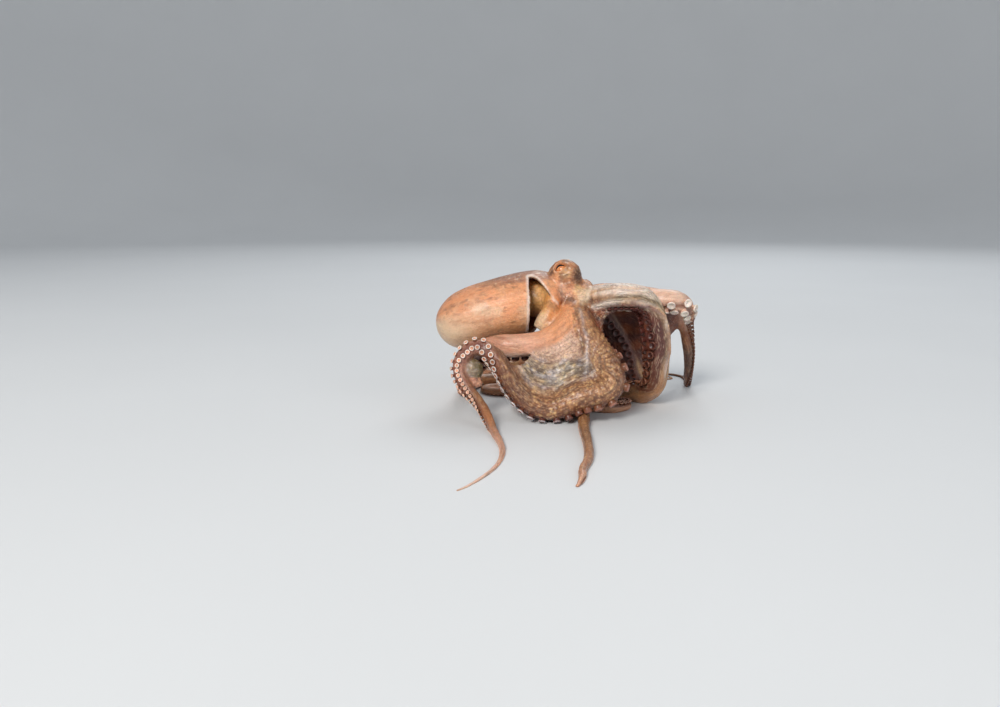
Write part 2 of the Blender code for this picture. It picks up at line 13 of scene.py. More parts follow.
import bmesh
import bpy
import numpy as np
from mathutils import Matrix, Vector


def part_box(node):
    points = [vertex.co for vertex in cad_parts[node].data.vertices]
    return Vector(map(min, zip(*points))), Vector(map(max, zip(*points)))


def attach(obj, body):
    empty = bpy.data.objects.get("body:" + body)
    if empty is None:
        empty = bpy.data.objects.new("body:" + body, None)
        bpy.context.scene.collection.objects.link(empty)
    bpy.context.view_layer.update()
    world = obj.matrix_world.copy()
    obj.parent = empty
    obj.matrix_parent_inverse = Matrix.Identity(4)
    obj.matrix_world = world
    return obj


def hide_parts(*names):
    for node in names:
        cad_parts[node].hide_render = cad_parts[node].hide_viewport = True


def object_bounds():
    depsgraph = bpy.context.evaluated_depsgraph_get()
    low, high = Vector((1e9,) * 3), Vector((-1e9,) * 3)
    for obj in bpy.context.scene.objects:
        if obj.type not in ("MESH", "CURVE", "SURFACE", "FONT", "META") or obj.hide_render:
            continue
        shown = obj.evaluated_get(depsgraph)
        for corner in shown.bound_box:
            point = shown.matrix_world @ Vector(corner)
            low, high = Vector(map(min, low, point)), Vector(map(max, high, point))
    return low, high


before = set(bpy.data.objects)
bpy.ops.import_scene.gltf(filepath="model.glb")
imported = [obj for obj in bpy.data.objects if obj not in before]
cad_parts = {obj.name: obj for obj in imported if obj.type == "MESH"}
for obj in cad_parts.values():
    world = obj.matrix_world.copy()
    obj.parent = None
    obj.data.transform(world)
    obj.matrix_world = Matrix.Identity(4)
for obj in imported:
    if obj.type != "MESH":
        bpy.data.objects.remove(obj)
cad_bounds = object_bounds()

MM = 0.001
CAD_LOW, CAD_HIGH = (np.array(corner) / MM for corner in cad_bounds)

# ---- directions a sucker row can face -------------------------------------------------
DOWN, UP = np.array((0.0, 0.0, -1.0)), np.array((0.0, 0.0, 1.0))
LEFT, RIGHT = np.array((-1.0, 0.0, 0.0)), np.array((1.0, 0.0, 0.0))
NEAR, FAR = np.array((0.0, -1.0, 0.0)), np.array((0.0, 1.0, 0.0))

# ---- crown: the ring from which the arms spring ---------------------------------------
CROWN = np.array((6.5, 5.0, 77.0))
ROOT_RADIUS = 8.0
MOUTH_AXIS = np.array((0.8, 0.0, -0.6))
CROWN_TOP = np.array((0.6, 0.0, 0.8))

# ---- arms: place round the crown, radius, taper, end, route and curled end -------------
ARM_SWELL = 1.35
FLOOR_SINK = 0.8
RESTING_HEIGHT = 3.0           # an arm sinks in where its underside is lower than this
FULL_SINK_RADIUS = 3.0         # and less where it is thinner than this
ARMS = {
    "arm_right_2": {
        "angle": 22.5, "radius": 10.0, "taper": 1.2, "end": 0.7,
        "route": [
            (30, -12, 77.5, DOWN), (45, -17, 79.5, DOWN), (57, -17, 76.5, DOWN + NEAR / 5),
            (65.5, -15, 67.5, DOWN + LEFT + NEAR / 2), (69.5, -14, 54, LEFT + NEAR / 2),
            (71.5, -14, 39, LEFT + NEAR / 2), (72, -13, 24, LEFT), (71, -8, 9, LEFT + UP),
            (63, 4, 0, UP + FAR), (49, 13, 0, UP), (32, 12, 0, UP),
        ],
        "curl": (185, 26, 8, 1),
    },
    "arm_right_3": {
        "angle": 67.5, "radius": 11.0, "taper": 1.5, "end": 0.7,
        "route": [
            (10, -22, 57.5, RIGHT + FAR), (16, -32, 46, RIGHT + FAR), (23.5, -42, 35, RIGHT + FAR),
            (30, -51, 25.5, RIGHT), (29.5, -57, 16, RIGHT + DOWN), (19, -60, 11, RIGHT + DOWN),
            (7, -61, 8.8, DOWN), (-10, -60, 2, DOWN), (-26, -59, 4, DOWN + LEFT),
            (-39.5, -57, 16, LEFT + DOWN), (-48.5, -55, 30.5, LEFT), (-57.5, -52, 43, LEFT + NEAR),
            (-69.5, -49, 48, NEAR + UP), (-79, -49, 42, NEAR + LEFT), (-82, -51, 31.5, LEFT + NEAR),
            (-76.5, -57, 21, NEAR + LEFT), (-66, -67, 11, NEAR + LEFT + DOWN), (-58.5, -84, 2, DOWN),
            (-54.5, -104, 0, DOWN), (-51, -126, 0, DOWN), (-51, -150, 0, DOWN),
            (-57, -178, 0, DOWN), (-69, -204, 0, DOWN),
        ],
        "curl": (14, 60, 40, -1),
    },
    "arm_right_4": {
        "angle": 112.5, "radius": 9.0, "taper": 1.15, "end": 0.7,
        "route": [
            (-2, -24, 60, FAR + DOWN), (-12, -33, 51, FAR + DOWN), (-28, -38, 46, FAR + DOWN),
            (-45, -38, 45, DOWN + FAR), (-60, -32, 42, DOWN), (-73, -19, 30, DOWN),
            (-79, 0, 18, DOWN), (-80, 22, 5, DOWN), (-81, 40, 0, DOWN),
        ],
        "curl": (240, 32, 9, -1),
    },
    "arm_left_4": {
        "angle": 157.5, "radius": 8.5, "taper": 3.0, "end": 3.1,
        "route": [
            (-8, 1, 40, DOWN + RIGHT), (-16, 3, 19, DOWN + RIGHT), (-27, 1, 3, DOWN),
            (-34, -11, 0, DOWN), (-28, -25, 0, DOWN), (-14, -32, 0, DOWN), (1, -37, 0, DOWN),
            (9.5, -46, 0, DOWN), (10, -61, 0, DOWN), (8, -80, 0, DOWN), (7, -104, 0, DOWN),
            (6.5, -126, 0, DOWN), (5, -146, 0, DOWN), (2.5, -163, 0, DOWN),
            (-2, -180, 0, DOWN), (-3.5, -193, 0, DOWN), (-6, -203, 0, DOWN),
        ],
        "curl": (6, 60, 30, -1),
    },
    "arm_left_3": {
        "angle": 202.5, "radius": 10.0, "taper": 1.2, "end": 0.7,
        "route": [
            (-7, 27, 38, DOWN + RIGHT), (-11, 43, 16, DOWN + RIGHT), (-13, 62, 0, DOWN),
            (-15, 84, 0, DOWN), (-14, 110, 0, DOWN),
        ],
        "curl": (240, 38, 9, 1),
    },
    "arm_left_2": {
        "angle": 247.5, "radius": 10.0, "taper": 1.2, "end": 0.7,
        "route": [
            (9, 38, 48, DOWN + NEAR), (14, 53, 26, DOWN + NEAR), (15, 72, 4, DOWN),
            (10, 96, 0, DOWN), (5, 124, 0, DOWN),
        ],
        "curl": (225, 34, 9, -1),
    },
    "arm_left_1": {
        "angle": 292.5, "radius": 10.0, "taper": 1.4, "end": 0.7,
        "route": [
            (26, 34, 64, DOWN + NEAR), (40, 44, 48, DOWN + NEAR), (53, 52, 28, DOWN + NEAR),
            (64, 60, 8, DOWN), (72, 70, 0, DOWN),
        ],
        "curl": (215, 27, 8, 1),
    },
    "arm_right_1": {
        "angle": 337.5, "radius": 10.0, "taper": 2.0, "end": 0.7,
        "route": [
            (34, 19, 76, DOWN), (58, 22, 75, DOWN), (78.5, 13, 75, DOWN + NEAR / 2),
            (89.5, 11, 75, DOWN + NEAR + RIGHT / 2), (96.5, 15, 71.5, DOWN + NEAR + RIGHT),
            (100, 24, 64.5, NEAR + RIGHT + DOWN), (101, 31, 57.5, RIGHT + NEAR),
            (104, 36, 47, RIGHT + NEAR / 2), (107.5, 42, 33, RIGHT), (110, 50, 16, RIGHT + DOWN / 2),
            (112, 63, 1.5, DOWN + RIGHT / 2), (116.5, 84, 0, DOWN), (117, 100, 0, DOWN),
        ],
        "curl": (90, 20, 7, 1),
    },
}
ROUTE_STEP = 1.5
ROOT_NARROWING = 0.76
ROOT_LENGTH = 45.0
GROOVE_DEPTH, GROOVE_WIDTH = 0.24, 0.3    # between the two rows of suckers, as shares of the radius

# ---- webs: the two arms, how far each carries the web, how deep the margin is scooped, and how
# far the web lies on the viewer's side of the arms' middles ----
WEBS = {
    "web_right_1_2": ("arm_right_1", "arm_right_2", 84, 84, 0.1, 0.0),
    "web_right_2_3": ("arm_right_2", "arm_right_3", 66, 70, 0.42, -5.0),
    "web_right_3_4": ("arm_right_3", "arm_right_4", 190, 54, 0.1, 4.5),
    "web_right_4_left_4": ("arm_right_4", "arm_left_4", 48, 55, 0.3, 0.0),
    "web_left_4_3": ("arm_left_4", "arm_left_3", 58, 72, 0.2, 0.0),
    "web_left_3_2": ("arm_left_3", "arm_left_2", 84, 84, 0.16, 0.0),
    "web_left_2_1": ("arm_left_2", "arm_left_1", 90, 96, 0.16, 0.0),
    "web_left_1_right_1": ("arm_left_1", "arm_right_1", 120, 114, 0.04, 0.0),
}
WEB_THICKNESS = 2.6
WEB_FLARE = 3.2                # how much thicker each side of a web gets where it meets an arm
WEB_CELLS = 44

# ---- mantle ------------------------------------------------------------------------------
MANTLE_FRONT = np.array((-10.0, 4.0, 82.5))
MANTLE_TIP = np.array((-103.0, 1.0, 82.5))
MANTLE_RADIUS = 26.5
MANTLE_FULLEST = 38.0
MANTLE_NARROWING = 0.06
MANTLE_SAG = 16.0
MANTLE_BLUNTNESS = 3.6
MANTLE_NECK, NECK_LENGTH = 5.5, 20.0
MANTLE_WALL = 2.8
MANTLE_POCKET = 52.0
RIM_NEAR, RIM_FAR = 21.0, -5.0
RIM_MIDDLE = -10.0             # degrees above level of the middle of the opening
RIM_OPEN, RIM_CLOSED = 72.0, 95.0
RIM_TWIST = 78.0
TAIL_SCALE = 24.0              # millimetres to one unit of the egg's blunt end, for distances from it

# ---- head: rounded forms (centre, half-lengths, tilt of the long axes) --------------------
UPRIGHT = np.eye(3)
CROWN_TILT = np.array((MOUTH_AXIS, CROWN_TOP, np.cross(MOUTH_AXIS, CROWN_TOP)))
RIGHT_MOUND = np.array((-1.0, -2.0, 104.0))
LEFT_MOUND = np.array((-2.0, 26.0, 83.0))
HEAD_FORMS = (
    (np.array((-4.0, 5.0, 87.0)), (16.0, 16.0, 16.0), UPRIGHT),
    (CROWN - 2.0 * MOUTH_AXIS, (12.0, 25.0, 24.0), CROWN_TILT),
    (np.array((-20.0, 10.0, 84.0)), (22.0, 14.0, 15.0), UPRIGHT),
    (RIGHT_MOUND, (12.5, 11.5, 12.5), UPRIGHT),
    (LEFT_MOUND, (12.0, 11.0, 11.0), UPRIGHT),
)
HEAD_CENTRE = np.array((0.0, 6.0, 84.0))
HEAD_BLEND = 5.0

# ---- eyes ----------------------------------------------------------------------------------
EYE_RADIUS = 6.0
GLOBE_RADIUS = EYE_RADIUS - 0.1    # a little within the solid eye
EYE_SET = 6.5
EYES = {
    "eye_right": (RIGHT_MOUND, np.array((-0.40, -0.72, 0.57))),
    "eye_left": (LEFT_MOUND, np.array((-0.40, 0.88, 0.25))),
}
LID_WIDE, LID_HIGH = 4.3, 3.2      # half-lengths of the opening between the lids
EYE_TURN = math.radians(33)        # how far the opening is turned from the level
LID_REACH = 12.0                   # how far from an eye's middle the skin is shaped into lids
LID_RIDGE, LID_FURROW = (1.1, 1.28, 0.3), (0.5, 1.85, 0.3)    # height, place and width round the opening
BEHIND_GLOBE = 1.6                 # how deep the skin sinks behind the globe's surface
EYE_ROUNDS = (11.0, 8.5)           # within these radii the skin's faces are divided once and once more
CALM_ROUND_EYE = 7.0               # width of the bell by which relief fades near an eye's middle

# ---- funnel: (x, y, z, radius) along it ------------------------------------------------------
FUNNEL = (
    (-10, -5, 94, 4.5), (-11, -8.5, 88, 5.6), (-12.5, -15.5, 79, 7.0), (-15, -17, 71, 7.8),
    (-18.5, -17, 63.5, 7.6),
)
FUNNEL_BORE = 3.6
FUNNEL_BORE_DEPTH = 12.0

# ---- flesh in the ring that arm_right_3 makes: (centre, half-lengths) --------------------------
CURL_FORMS = (((-72.0, -48.0, 37.5), (8.0, 6.5, 8.0)), ((-73.5, -50.0, 28.0), (9.5, 5.0, 5.0)))

# ---- the fused skin ---------------------------------------------------------------------------
SKIN_GRAIN = 1.0               # edge of the cells in which the surfaces are fused
SKIN_TRIANGLES = 190_000
SMOOTHINGS = 7
THINNEST = 1.45                # least radius an arm keeps when it is fused, so that its tip isn't lost

# ---- a pale fold of skin from the root of the arched arm down over the web: (x, z) along it -----
FOLD = ((8.3, 83.6), (9.3, 76.5), (10.9, 66.6), (12.7, 56.8), (13.2, 47.2), (12.5, 37.8), (10.7, 29.0))
FOLD_NEARER = -4.0             # it lies only on skin nearer the viewer than this
FOLD_PLACES = 80               # its line is read at so many places
FOLD_FADES = (12, 60)          # it fades in up to the first of these places and out from the second
FURROW_PLACE = -3.2            # how far to the left of the fold its dark furrow lies
FAN_CENTRE = np.array((11.8, 46.6))        # (x, z) from which wrinkles fan out over the bend below it
FAN_SPACING = 0.2
FAN_NEARER = -25.0             # they lie only on skin nearer the viewer than this
FAN_INNER, FAN_OUTER = (6, 11), (24, 30)               # distances over which they fade in and out,
FAN_LOWER, FAN_UPPER = (-1.9, -1.3), (0.7, 1.2)        # and angles, in radians above level

# ---- which part the skin belongs to, and patterns that follow the parts ----------------------------
WEB_LONG, WEB_WIDE = 110.0, 42.0           # a web's usual measures, for what runs along it
PART_BLEND = 0.8                           # over about so many millimetres one part passes into another
WEB_CLEAR = 1.6                            # further than this from every other part the skin is a web's
FUNNEL_YIELDS = 0.3                        # how much nearer the funnel has to be than another part
MANTLE_BEGINS = -4.0                       # no skin belongs to the mantle further in front of its rim
NEXT_PART = 37.0                           # how far apart the patterns of two arms or webs are taken
MANTLE_PLACE, WEB_PLACE = 400.0, 500.0     # where those of the mantle and the webs are taken
GRAIN_STRETCH, GRAIN_SIZE = (1.7, 1.0, 1.0), 2.9       # pale grains, longer along a part than round it
BOX_MARGIN = 0.05                          # how far every point is kept inside the solids' box


# ================================ curves and surfaces ================================
def spline(rows, count):
    """A natural cubic spline through rows of numbers, read at count even places."""
    p = np.array(rows, float)
    last = len(p) - 1
    t = np.concatenate(([0.0], np.cumsum(np.linalg.norm(np.diff(p[:, :3], axis=0), axis=1) ** 0.5)))
    h = np.diff(t)
    system, right = np.eye(last + 1), np.zeros_like(p)
    for i in range(1, last):
        system[i, i - 1:i + 2] = h[i - 1], 2 * (h[i - 1] + h[i]), h[i]
        right[i] = 6 * ((p[i + 1] - p[i]) / h[i] - (p[i] - p[i - 1]) / h[i - 1])
    m = np.linalg.solve(system, right)
    x = np.linspace(0, t[-1], count)
    k = np.clip(np.searchsorted(t, x, side="right") - 1, 0, last - 1)
    a, b, w = (x - t[k])[:, None], (t[k + 1] - x)[:, None], h[k][:, None]
    return (m[k] * b**3 + m[k + 1] * a**3) / (6 * w) + (p[k] / w - m[k] * w / 6) * b + (
        p[k + 1] / w - m[k + 1] * w / 6) * a


def evenly(rows, step):
    """Rows of numbers read again at even steps of the length of their first three."""
    along = np.concatenate(([0.0], np.cumsum(np.linalg.norm(np.diff(rows[:, :3], axis=0), axis=1))))
    places = np.linspace(0, along[-1], max(2, int(along[-1] / step)))
    return np.stack([np.interp(places, along, column) for column in rows.T], axis=1)


def coil(start, heading, length, first_radius, last_radius, side):
    """A flat spiral on the floor: its heading turns ever faster as its radius shrinks."""
    steps = int(length / ROUTE_STEP)
    radius = first_radius * (last_radius / first_radius) ** np.linspace(0, 1, steps)
    angle = math.atan2(heading[1], heading[0]) + side * np.cumsum(ROUTE_STEP / radius)
    rows = np.zeros((steps, 6))
    rows[:, 0] = start[0] + np.cumsum(np.cos(angle)) * ROUTE_STEP
    rows[:, 1] = start[1] + np.cumsum(np.sin(angle)) * ROUTE_STEP
    rows[:, 3:] = start[3:]
    return rows


def arm_radius(share, largest, taper, end):
    """The radius at a share of the arm's length: even near the root, then a whip-like taper, and
    rounded off at the end."""
    whip = ARM_SWELL * largest * (1 - share) ** taper + end * np.sqrt(1.04 - share**12)
    return (whip + largest - np.sqrt((whip - largest) ** 2 + 1.5)) / 2


def unit(vectors):
    """Each vector divided by its own length."""
    return vectors / np.maximum(np.linalg.norm(vectors, axis=-1, keepdims=True), 1e-9)


class Arm:
    """The line of an arm: its centre points, the way each one's suckers face, and its radius."""

    def __init__(self, angle, radius, taper, end, route, curl):
        turn = math.radians(angle)
        way = math.cos(turn) * CROWN_TOP + math.sin(turn) * NEAR
        root = CROWN + ROOT_RADIUS * way - UP * radius
        rows = [(*root, *MOUTH_AXIS), *((x, y, rise, *unit(way)) for x, y, rise, way in route)]
        line = evenly(spline(rows, 600), ROUTE_STEP)
        line = np.vstack((line, coil(line[-1], line[-1] - line[-2], *curl)))
        line = evenly(line, ROUTE_STEP)
        self.share = np.linspace(0, 1, len(line))
        self.radius = arm_radius(self.share, radius, taper, end)
        self.centre = line[:, :3].copy()
        self.centre[:, 2] = np.maximum(line[:, 2], 0) + self.radius
        resting = np.clip(1 - line[:, 2] / RESTING_HEIGHT, 0, 1)
        self.centre[:, 2] -= FLOOR_SINK * resting * np.minimum(1, self.radius / FULL_SINK_RADIUS)
        self.length = np.linalg.norm(np.diff(self.centre, axis=0), axis=1).sum()
        self.tangent = unit(np.gradient(self.centre, axis=0))
        facing = line[:, 3:]
        self.facing = unit(facing - np.sum(facing * self.tangent, 1)[:, None] * self.tangent)
        self.across = unit(np.cross(self.tangent, self.facing))
        self.width = self.radius * (ROOT_NARROWING + (1 - ROOT_NARROWING) * np.clip(
            self.share * self.length / ROOT_LENGTH, 0, 1))

    def at(self, share, values):
        """Values of the arm read at any shares of its length."""
        if values.ndim == 1:
            return np.interp(share, self.share, values)
        return np.stack([np.interp(share, self.share, column) for column in values.T], axis=-1)


def smoothstep(low, high, x):
    """0 up to low and 1 from high, with t^2 (3 - 2t) between them."""
    t = np.clip((x - low) / (high - low), 0, 1)
    return t * t * (3 - 2 * t)


def bell(x, middle, width):
    """exp(-((x - middle) / width)^2)"""
    return np.exp(-((x - middle) / width) ** 2)


def grid_faces(rows, columns, closed_across=True):
    """Quads of a grid of points, row by row, that is closed round its columns or not."""
    across = columns if closed_across else columns - 1
    i, j = np.meshgrid(np.arange(rows - 1), np.arange(across), indexing="ij")
    k = (j + 1) % columns
    quads = np.stack((i * columns + j, i * columns + k, (i + 1) * columns + k, (i + 1) * columns + j), -1)
    return quads.reshape(-1, 4)


def fan_faces(ring, tip, turned):
    """Triangles from a ring of points to one tip, turned over or not."""
    following = np.roll(ring, -1)
    fan = np.stack((following, ring, np.full(len(ring), tip)), -1)
    return fan[:, ::-1] if turned else fan


def closed_tube(rings):
    """Points and faces of a tube through rings of points (rows, around, 3), with a point at each end."""
    rows, around = rings.shape[:2]
    points = np.vstack((rings.reshape(-1, 3), rings[0].mean(0), rings[-1].mean(0)))
    quads = grid_faces(rows, around)
    first = fan_faces(np.arange(around), rows * around, False)
    last = fan_faces(np.arange((rows - 1) * around, rows * around), rows * around + 1, True)
    return points, [quads, first, last]


def arm_surface(arm, around=36, step=1.1):
    """A tube round the arm's line. Its back is a half ellipse. Its sucker side is squarer, with a
    bell-shaped groove along the middle: depth = sin^0.8 x (1 - groove x exp(-(side / width)^2))."""
    share = np.linspace(0, 1, int(arm.length / step))
    turn = 2 * np.pi * np.arange(around) / around
    side = np.cos(turn)
    rise = np.sin(turn)
    oral = np.abs(rise) ** 0.8 * (1 - GROOVE_DEPTH * bell(side, 0, GROOVE_WIDTH))
    back = np.where(rise > 0, 0.97 * rise, -oral)
    width = np.maximum(arm.at(share, arm.width), THINNEST)[:, None]
    radius = np.maximum(arm.at(share, arm.radius), THINNEST)[:, None]
    rings = (arm.at(share, arm.centre)[:, None]
             + (arm.at(share, arm.across) * width)[:, None] * side[None, :, None]
             - (arm.at(share, arm.facing) * radius)[:, None] * back[None, :, None])
    return closed_tube(rings)


def web_sheet(first, second, reach_first, reach_second, scoop, lift, cells=WEB_CELLS):
    """The middle of a web: straight lines from arm to arm, read further along both arms towards the
    margin, which is scooped towards the crown by scoop x sin(pi x across), and moved towards the
    viewer by the lift."""
    across, along = np.meshgrid(np.linspace(0, 1, cells + 1), np.linspace(0, 1, cells + 1))
    held = 1 - scoop * np.sin(np.pi * across)
    share_first = along * held * reach_first / first.length
    share_second = along * held * reach_second / second.length
    start = first.at(share_first, first.centre)
    end = second.at(share_second, second.centre)
    return start + (end - start) * across[..., None] + NEAR * lift


def web_surface(sheet):
    """The sheet moved both ways along its normal, and joined round its rim. Half its thickness is
    WEB_THICKNESS / 2 + WEB_FLARE x |2 x across - 1|^3, so it flows into the arms."""
    normal = unit(np.cross(np.gradient(sheet, axis=0), np.gradient(sheet, axis=1)))
    size = sheet.shape[0]
    flare = WEB_FLARE * np.abs(np.linspace(-1, 1, size)) ** 3
    half = normal * (WEB_THICKNESS / 2 + flare)[None, :, None]
    points = np.concatenate((sheet + half, sheet - half)).reshape(-1, 3)
    front = grid_faces(size, size, closed_across=False)
    back = front[:, ::-1] + size * size
    place = np.arange(size * size).reshape(size, size)
    rim = np.concatenate((place[0, :-1], place[:-1, -1], place[-1, :0:-1], place[:0:-1, 0]))
    following = np.roll(rim, -1)
    edge = np.stack((following, rim, rim + size * size, following + size * size), -1)
    return points, [front, back, edge]


def head_distance(points):
    """Roughly how far points lie outside the head's rounded forms. For each form it is n (n - 1) / s, with
    n the length of the place in half-lengths and s the same divided once more by the half-lengths. All are
    blended as -k x log(sum of exp(-distance / k)), with k half of HEAD_BLEND."""
    total = 0.0
    for centre, half, tilt in HEAD_FORMS:
        local = (points - centre) @ tilt.T / half
        near = np.linalg.norm(local, axis=-1)
        scaled = np.maximum(np.linalg.norm(local / half, axis=-1), 1e-9)
        total = total + np.exp(-np.clip(near * (near - 1) / scaled / (HEAD_BLEND / 2), -60, 60))
    return -HEAD_BLEND / 2 * np.log(total)


def globe_ways(tall, around):
    """Unit vectors to the rings of a globe, from near one pole to near the other."""
    polar = np.pi * (np.arange(tall) + 0.5) / tall
    turn = 2 * np.pi * np.arange(around) / around
    polar, turn = np.meshgrid(polar, turn, indexing="ij")
    return np.stack((np.sin(polar) * np.cos(turn), np.sin(polar) * np.sin(turn), np.cos(polar)), -1)


def head_surface(tall=80, around=120):
    """The head: where rays from its centre leave the blended forms, found by halving."""
    ways = globe_ways(tall, around)
    near, far = np.zeros(ways.shape[:2]), np.full(ways.shape[:2], 70.0)
    for _ in range(28):
        middle = (near + far) / 2
        outside = head_distance(HEAD_CENTRE + ways * middle[..., None]) > 0
        near, far = np.where(outside, near, middle), np.where(outside, middle, far)
    return closed_tube(HEAD_CENTRE + ways * near[..., None])


def rounded_form(centre, half, around=40, tall=24):
    """An ellipsoid: centre + (sin u cos v, sin u sin v, cos u) x its half-lengths."""
    return closed_tube(np.array(centre) + globe_ways(tall, around) * np.array(half))


# ---- the mantle's own measures --------------------------------------------------------------
MANTLE_ALONG = unit(MANTLE_TIP - MANTLE_FRONT)
MANTLE_LENGTH = float(np.linalg.norm(MANTLE_TIP - MANTLE_FRONT))
MANTLE_SIDE = unit(np.cross(UP, MANTLE_ALONG))
MANTLE_SIDE = MANTLE_SIDE * np.sign(MANTLE_SIDE @ NEAR)
MANTLE_RISE = unit(np.cross(MANTLE_SIDE, MANTLE_ALONG))
MANTLE_RISE = MANTLE_RISE * np.sign(MANTLE_RISE[2])


def mantle_centre(t):
    """The mantle's axis: level at both ends, with an even droop between them."""
    t = np.asarray(t, float)[..., None]
    share = np.clip(t / MANTLE_LENGTH, 0, 1)
    return MANTLE_FRONT + MANTLE_ALONG * t - MANTLE_RISE * MANTLE_SAG * share**2 * (3 - 2 * share)


def mantle_radius(t):
    """A blunt egg: rounded off like a superellipse behind, a little slimmer towards the rim."""
    behind = np.clip((t - MANTLE_FULLEST) / (MANTLE_LENGTH - MANTLE_FULLEST), 0, 1)
    before = np.clip((MANTLE_FULLEST - t) / MANTLE_FULLEST, 0, 2)
    neck = np.clip((NECK_LENGTH + RIM_FAR - t) / NECK_LENGTH, 0, 1)
    egg = MANTLE_RADIUS * (1 - behind**MANTLE_BLUNTNESS) ** 0.5 * (1 - MANTLE_NARROWING * before**2)
    return egg - MANTLE_NECK * neck**2


def mantle_rim(turn):
    """Where the rim lies along the mantle, for each of its lengthwise lines: RIM_NEAR in the opening,
    eased to RIM_FAR, where the mantle closes on the neck."""
    off = np.abs((np.degrees(turn) - RIM_MIDDLE + 180) % 360 - 180)
    return RIM_NEAR + (RIM_FAR - RIM_NEAR) * smoothstep(RIM_OPEN, RIM_CLOSED, off)


def mantle_twist(t):
    """How far the lengthwise lines have turned towards the viewer in front of the opening's rim."""
    return math.radians(RIM_TWIST) * smoothstep(RIM_NEAR, RIM_FAR, t)


def mantle_surface(around=130, outer=80, inner=36):
    """One closed surface: from the tip over the outside to the rim, in a half circle round its edge, and
    back inside to the rounded end of the cavity."""
    turn = 2 * np.pi * np.arange(around) / around
    rim = mantle_rim(turn)
    out = (np.arange(outer) + 0.7) / (outer - 0.3)
    bend = np.linspace(0, np.pi, 7)[1:-1]
    deep = (np.arange(inner) + 0.5) / (inner + 0.5)
    t = np.concatenate((
        MANTLE_LENGTH - (MANTLE_LENGTH - rim) * (1 - np.cos(np.pi / 2 * out))[:, None],
        rim - MANTLE_WALL / 2 * np.sin(bend)[:, None],
        rim + (MANTLE_POCKET - rim) * np.sin(np.pi / 2 * deep)[:, None],
    ))
    edge = MANTLE_WALL * (1 - np.cos(bend)) / 2
    wall = np.concatenate((np.zeros(outer), edge, np.full(inner, MANTLE_WALL)))
    closing = np.clip((t - rim) / (MANTLE_POCKET - rim), 0, 1)
    inside = np.arange(len(t))[:, None] >= outer + len(bend)
    radius = (mantle_radius(t) - wall[:, None]) * np.where(inside, np.sqrt(1 - closing**3), 1)
    angle = (turn - mantle_twist(t))[..., None]
    way = MANTLE_SIDE * np.cos(angle) + MANTLE_RISE * np.sin(angle)
    return closed_tube(mantle_centre(t) + radius[..., None] * way)


def funnel_line(count=60):
    """Centre, tangent and radius along the funnel."""
    line = spline(FUNNEL, count)
    return line[:, :3], unit(np.gradient(line[:, :3], axis=0)), line[:, 3]


def funnel_surface(around=40):
    """The funnel: a bent tube from the collar to its mouth, turned in over the lip and down the bore."""
    centre, tangent, radius = funnel_line()
    lip = np.linspace(0, np.pi, 7)[1:]
    deep = np.linspace(0, 1, 10)[1:]
    mouth, way, last = centre[-1], tangent[-1], radius[-1]
    lip_thick = (last - FUNNEL_BORE) / 2
    centres = np.concatenate((centre, mouth + way * lip_thick * np.sin(lip)[:, None],
                              mouth - way * FUNNEL_BORE_DEPTH * deep[:, None]))
    radii = np.concatenate((radius, last - lip_thick * (1 - np.cos(lip)), FUNNEL_BORE * (1 - 0.4 * deep)))
    tangents = np.concatenate((tangent, np.tile(way, (len(lip) + len(deep), 1))))
    across = unit(np.cross(tangents, NEAR))
    other = np.cross(tangents, across)
    turn = 2 * np.pi * np.arange(around) / around
    ring = across[:, None] * np.cos(turn)[None, :, None] + other[:, None] * np.sin(turn)[None, :, None]
    return closed_tube(centres[:, None] + ring * radii[:, None, None])


# ================================ seeded noise ================================
def scatter(cells, seed):
    """A number from 0 to 1 for each cell of whole numbers, always the same for the same cell."""
    h = (cells[..., 0] * 374761393 + cells[..., 1] * 668265263 + cells[..., 2] * 2147483647
         + seed * 974634777)
    h = h & 0xFFFFFFFF
    h = (h ^ (h >> 13)) * 1274126177 & 0xFFFFFFFF
    h = (h ^ (h >> 16)) * 1146822519 & 0xFFFFFFFF
    return ((h ^ (h >> 15)) & 0xFFFFFF) / float(0xFFFFFF)


def noise(points, size, seed=0):
    """Smooth noise from -1 to 1: random numbers on a lattice of that size, eased between its corners."""
    q = points / size
    whole = np.floor(q).astype(np.int64)
    part = q - whole
    part = part**3 * (part * (part * 6 - 15) + 10)
    total = 0.0
    for corner in np.ndindex(2, 2, 2):
        weight = np.prod(np.where(corner, part, 1 - part), axis=-1)
        total = total + weight * scatter(whole + np.array(corner), seed)
    return total * 2 - 1


def fractal(points, size, octaves=3, seed=0):
    """Noise at a size, half of it and so on, each half as strong as the one before."""
    total = sum(noise(points, size / 2**k, seed + k) / 2**k for k in range(octaves))
    return total / (2 - 2 ** (1 - octaves))


def pebbles(points, size, seed=0):
    """Rounded grains: each point's nearness, 0 to 1, to the nearest of one centre in each cell, and
    that grain's own number from 0 to 1."""
    q = points / size
    whole = np.floor(q).astype(np.int64)
    nearest, number = np.full(len(q), 9.0), np.zeros(len(q))
    for step in np.ndindex(3, 3, 3):
        cell = whole + np.array(step) - 1
        centre = cell + np.stack([0.15 + 0.7 * scatter(cell, seed + axis) for axis in range(3)], -1)
        far = np.linalg.norm(q - centre, axis=-1)
        number = np.where(far < nearest, scatter(cell, seed + 7), number)
        nearest = np.minimum(far, nearest)
    return np.clip(1 - nearest / 0.75, 0, 1), number


def grains_on(lay, seed):
    """Pebbles on the places of a part, longer along it than round it."""
    return pebbles(lay / GRAIN_STRETCH, GRAIN_SIZE, seed)


def streaks_on(lay, drawn, size, octaves, seed):
    """Fractal noise on the places of a part, drawn out along it so many times."""
    return fractal(lay / (drawn, 1.0, 1.0), size, octaves, seed)


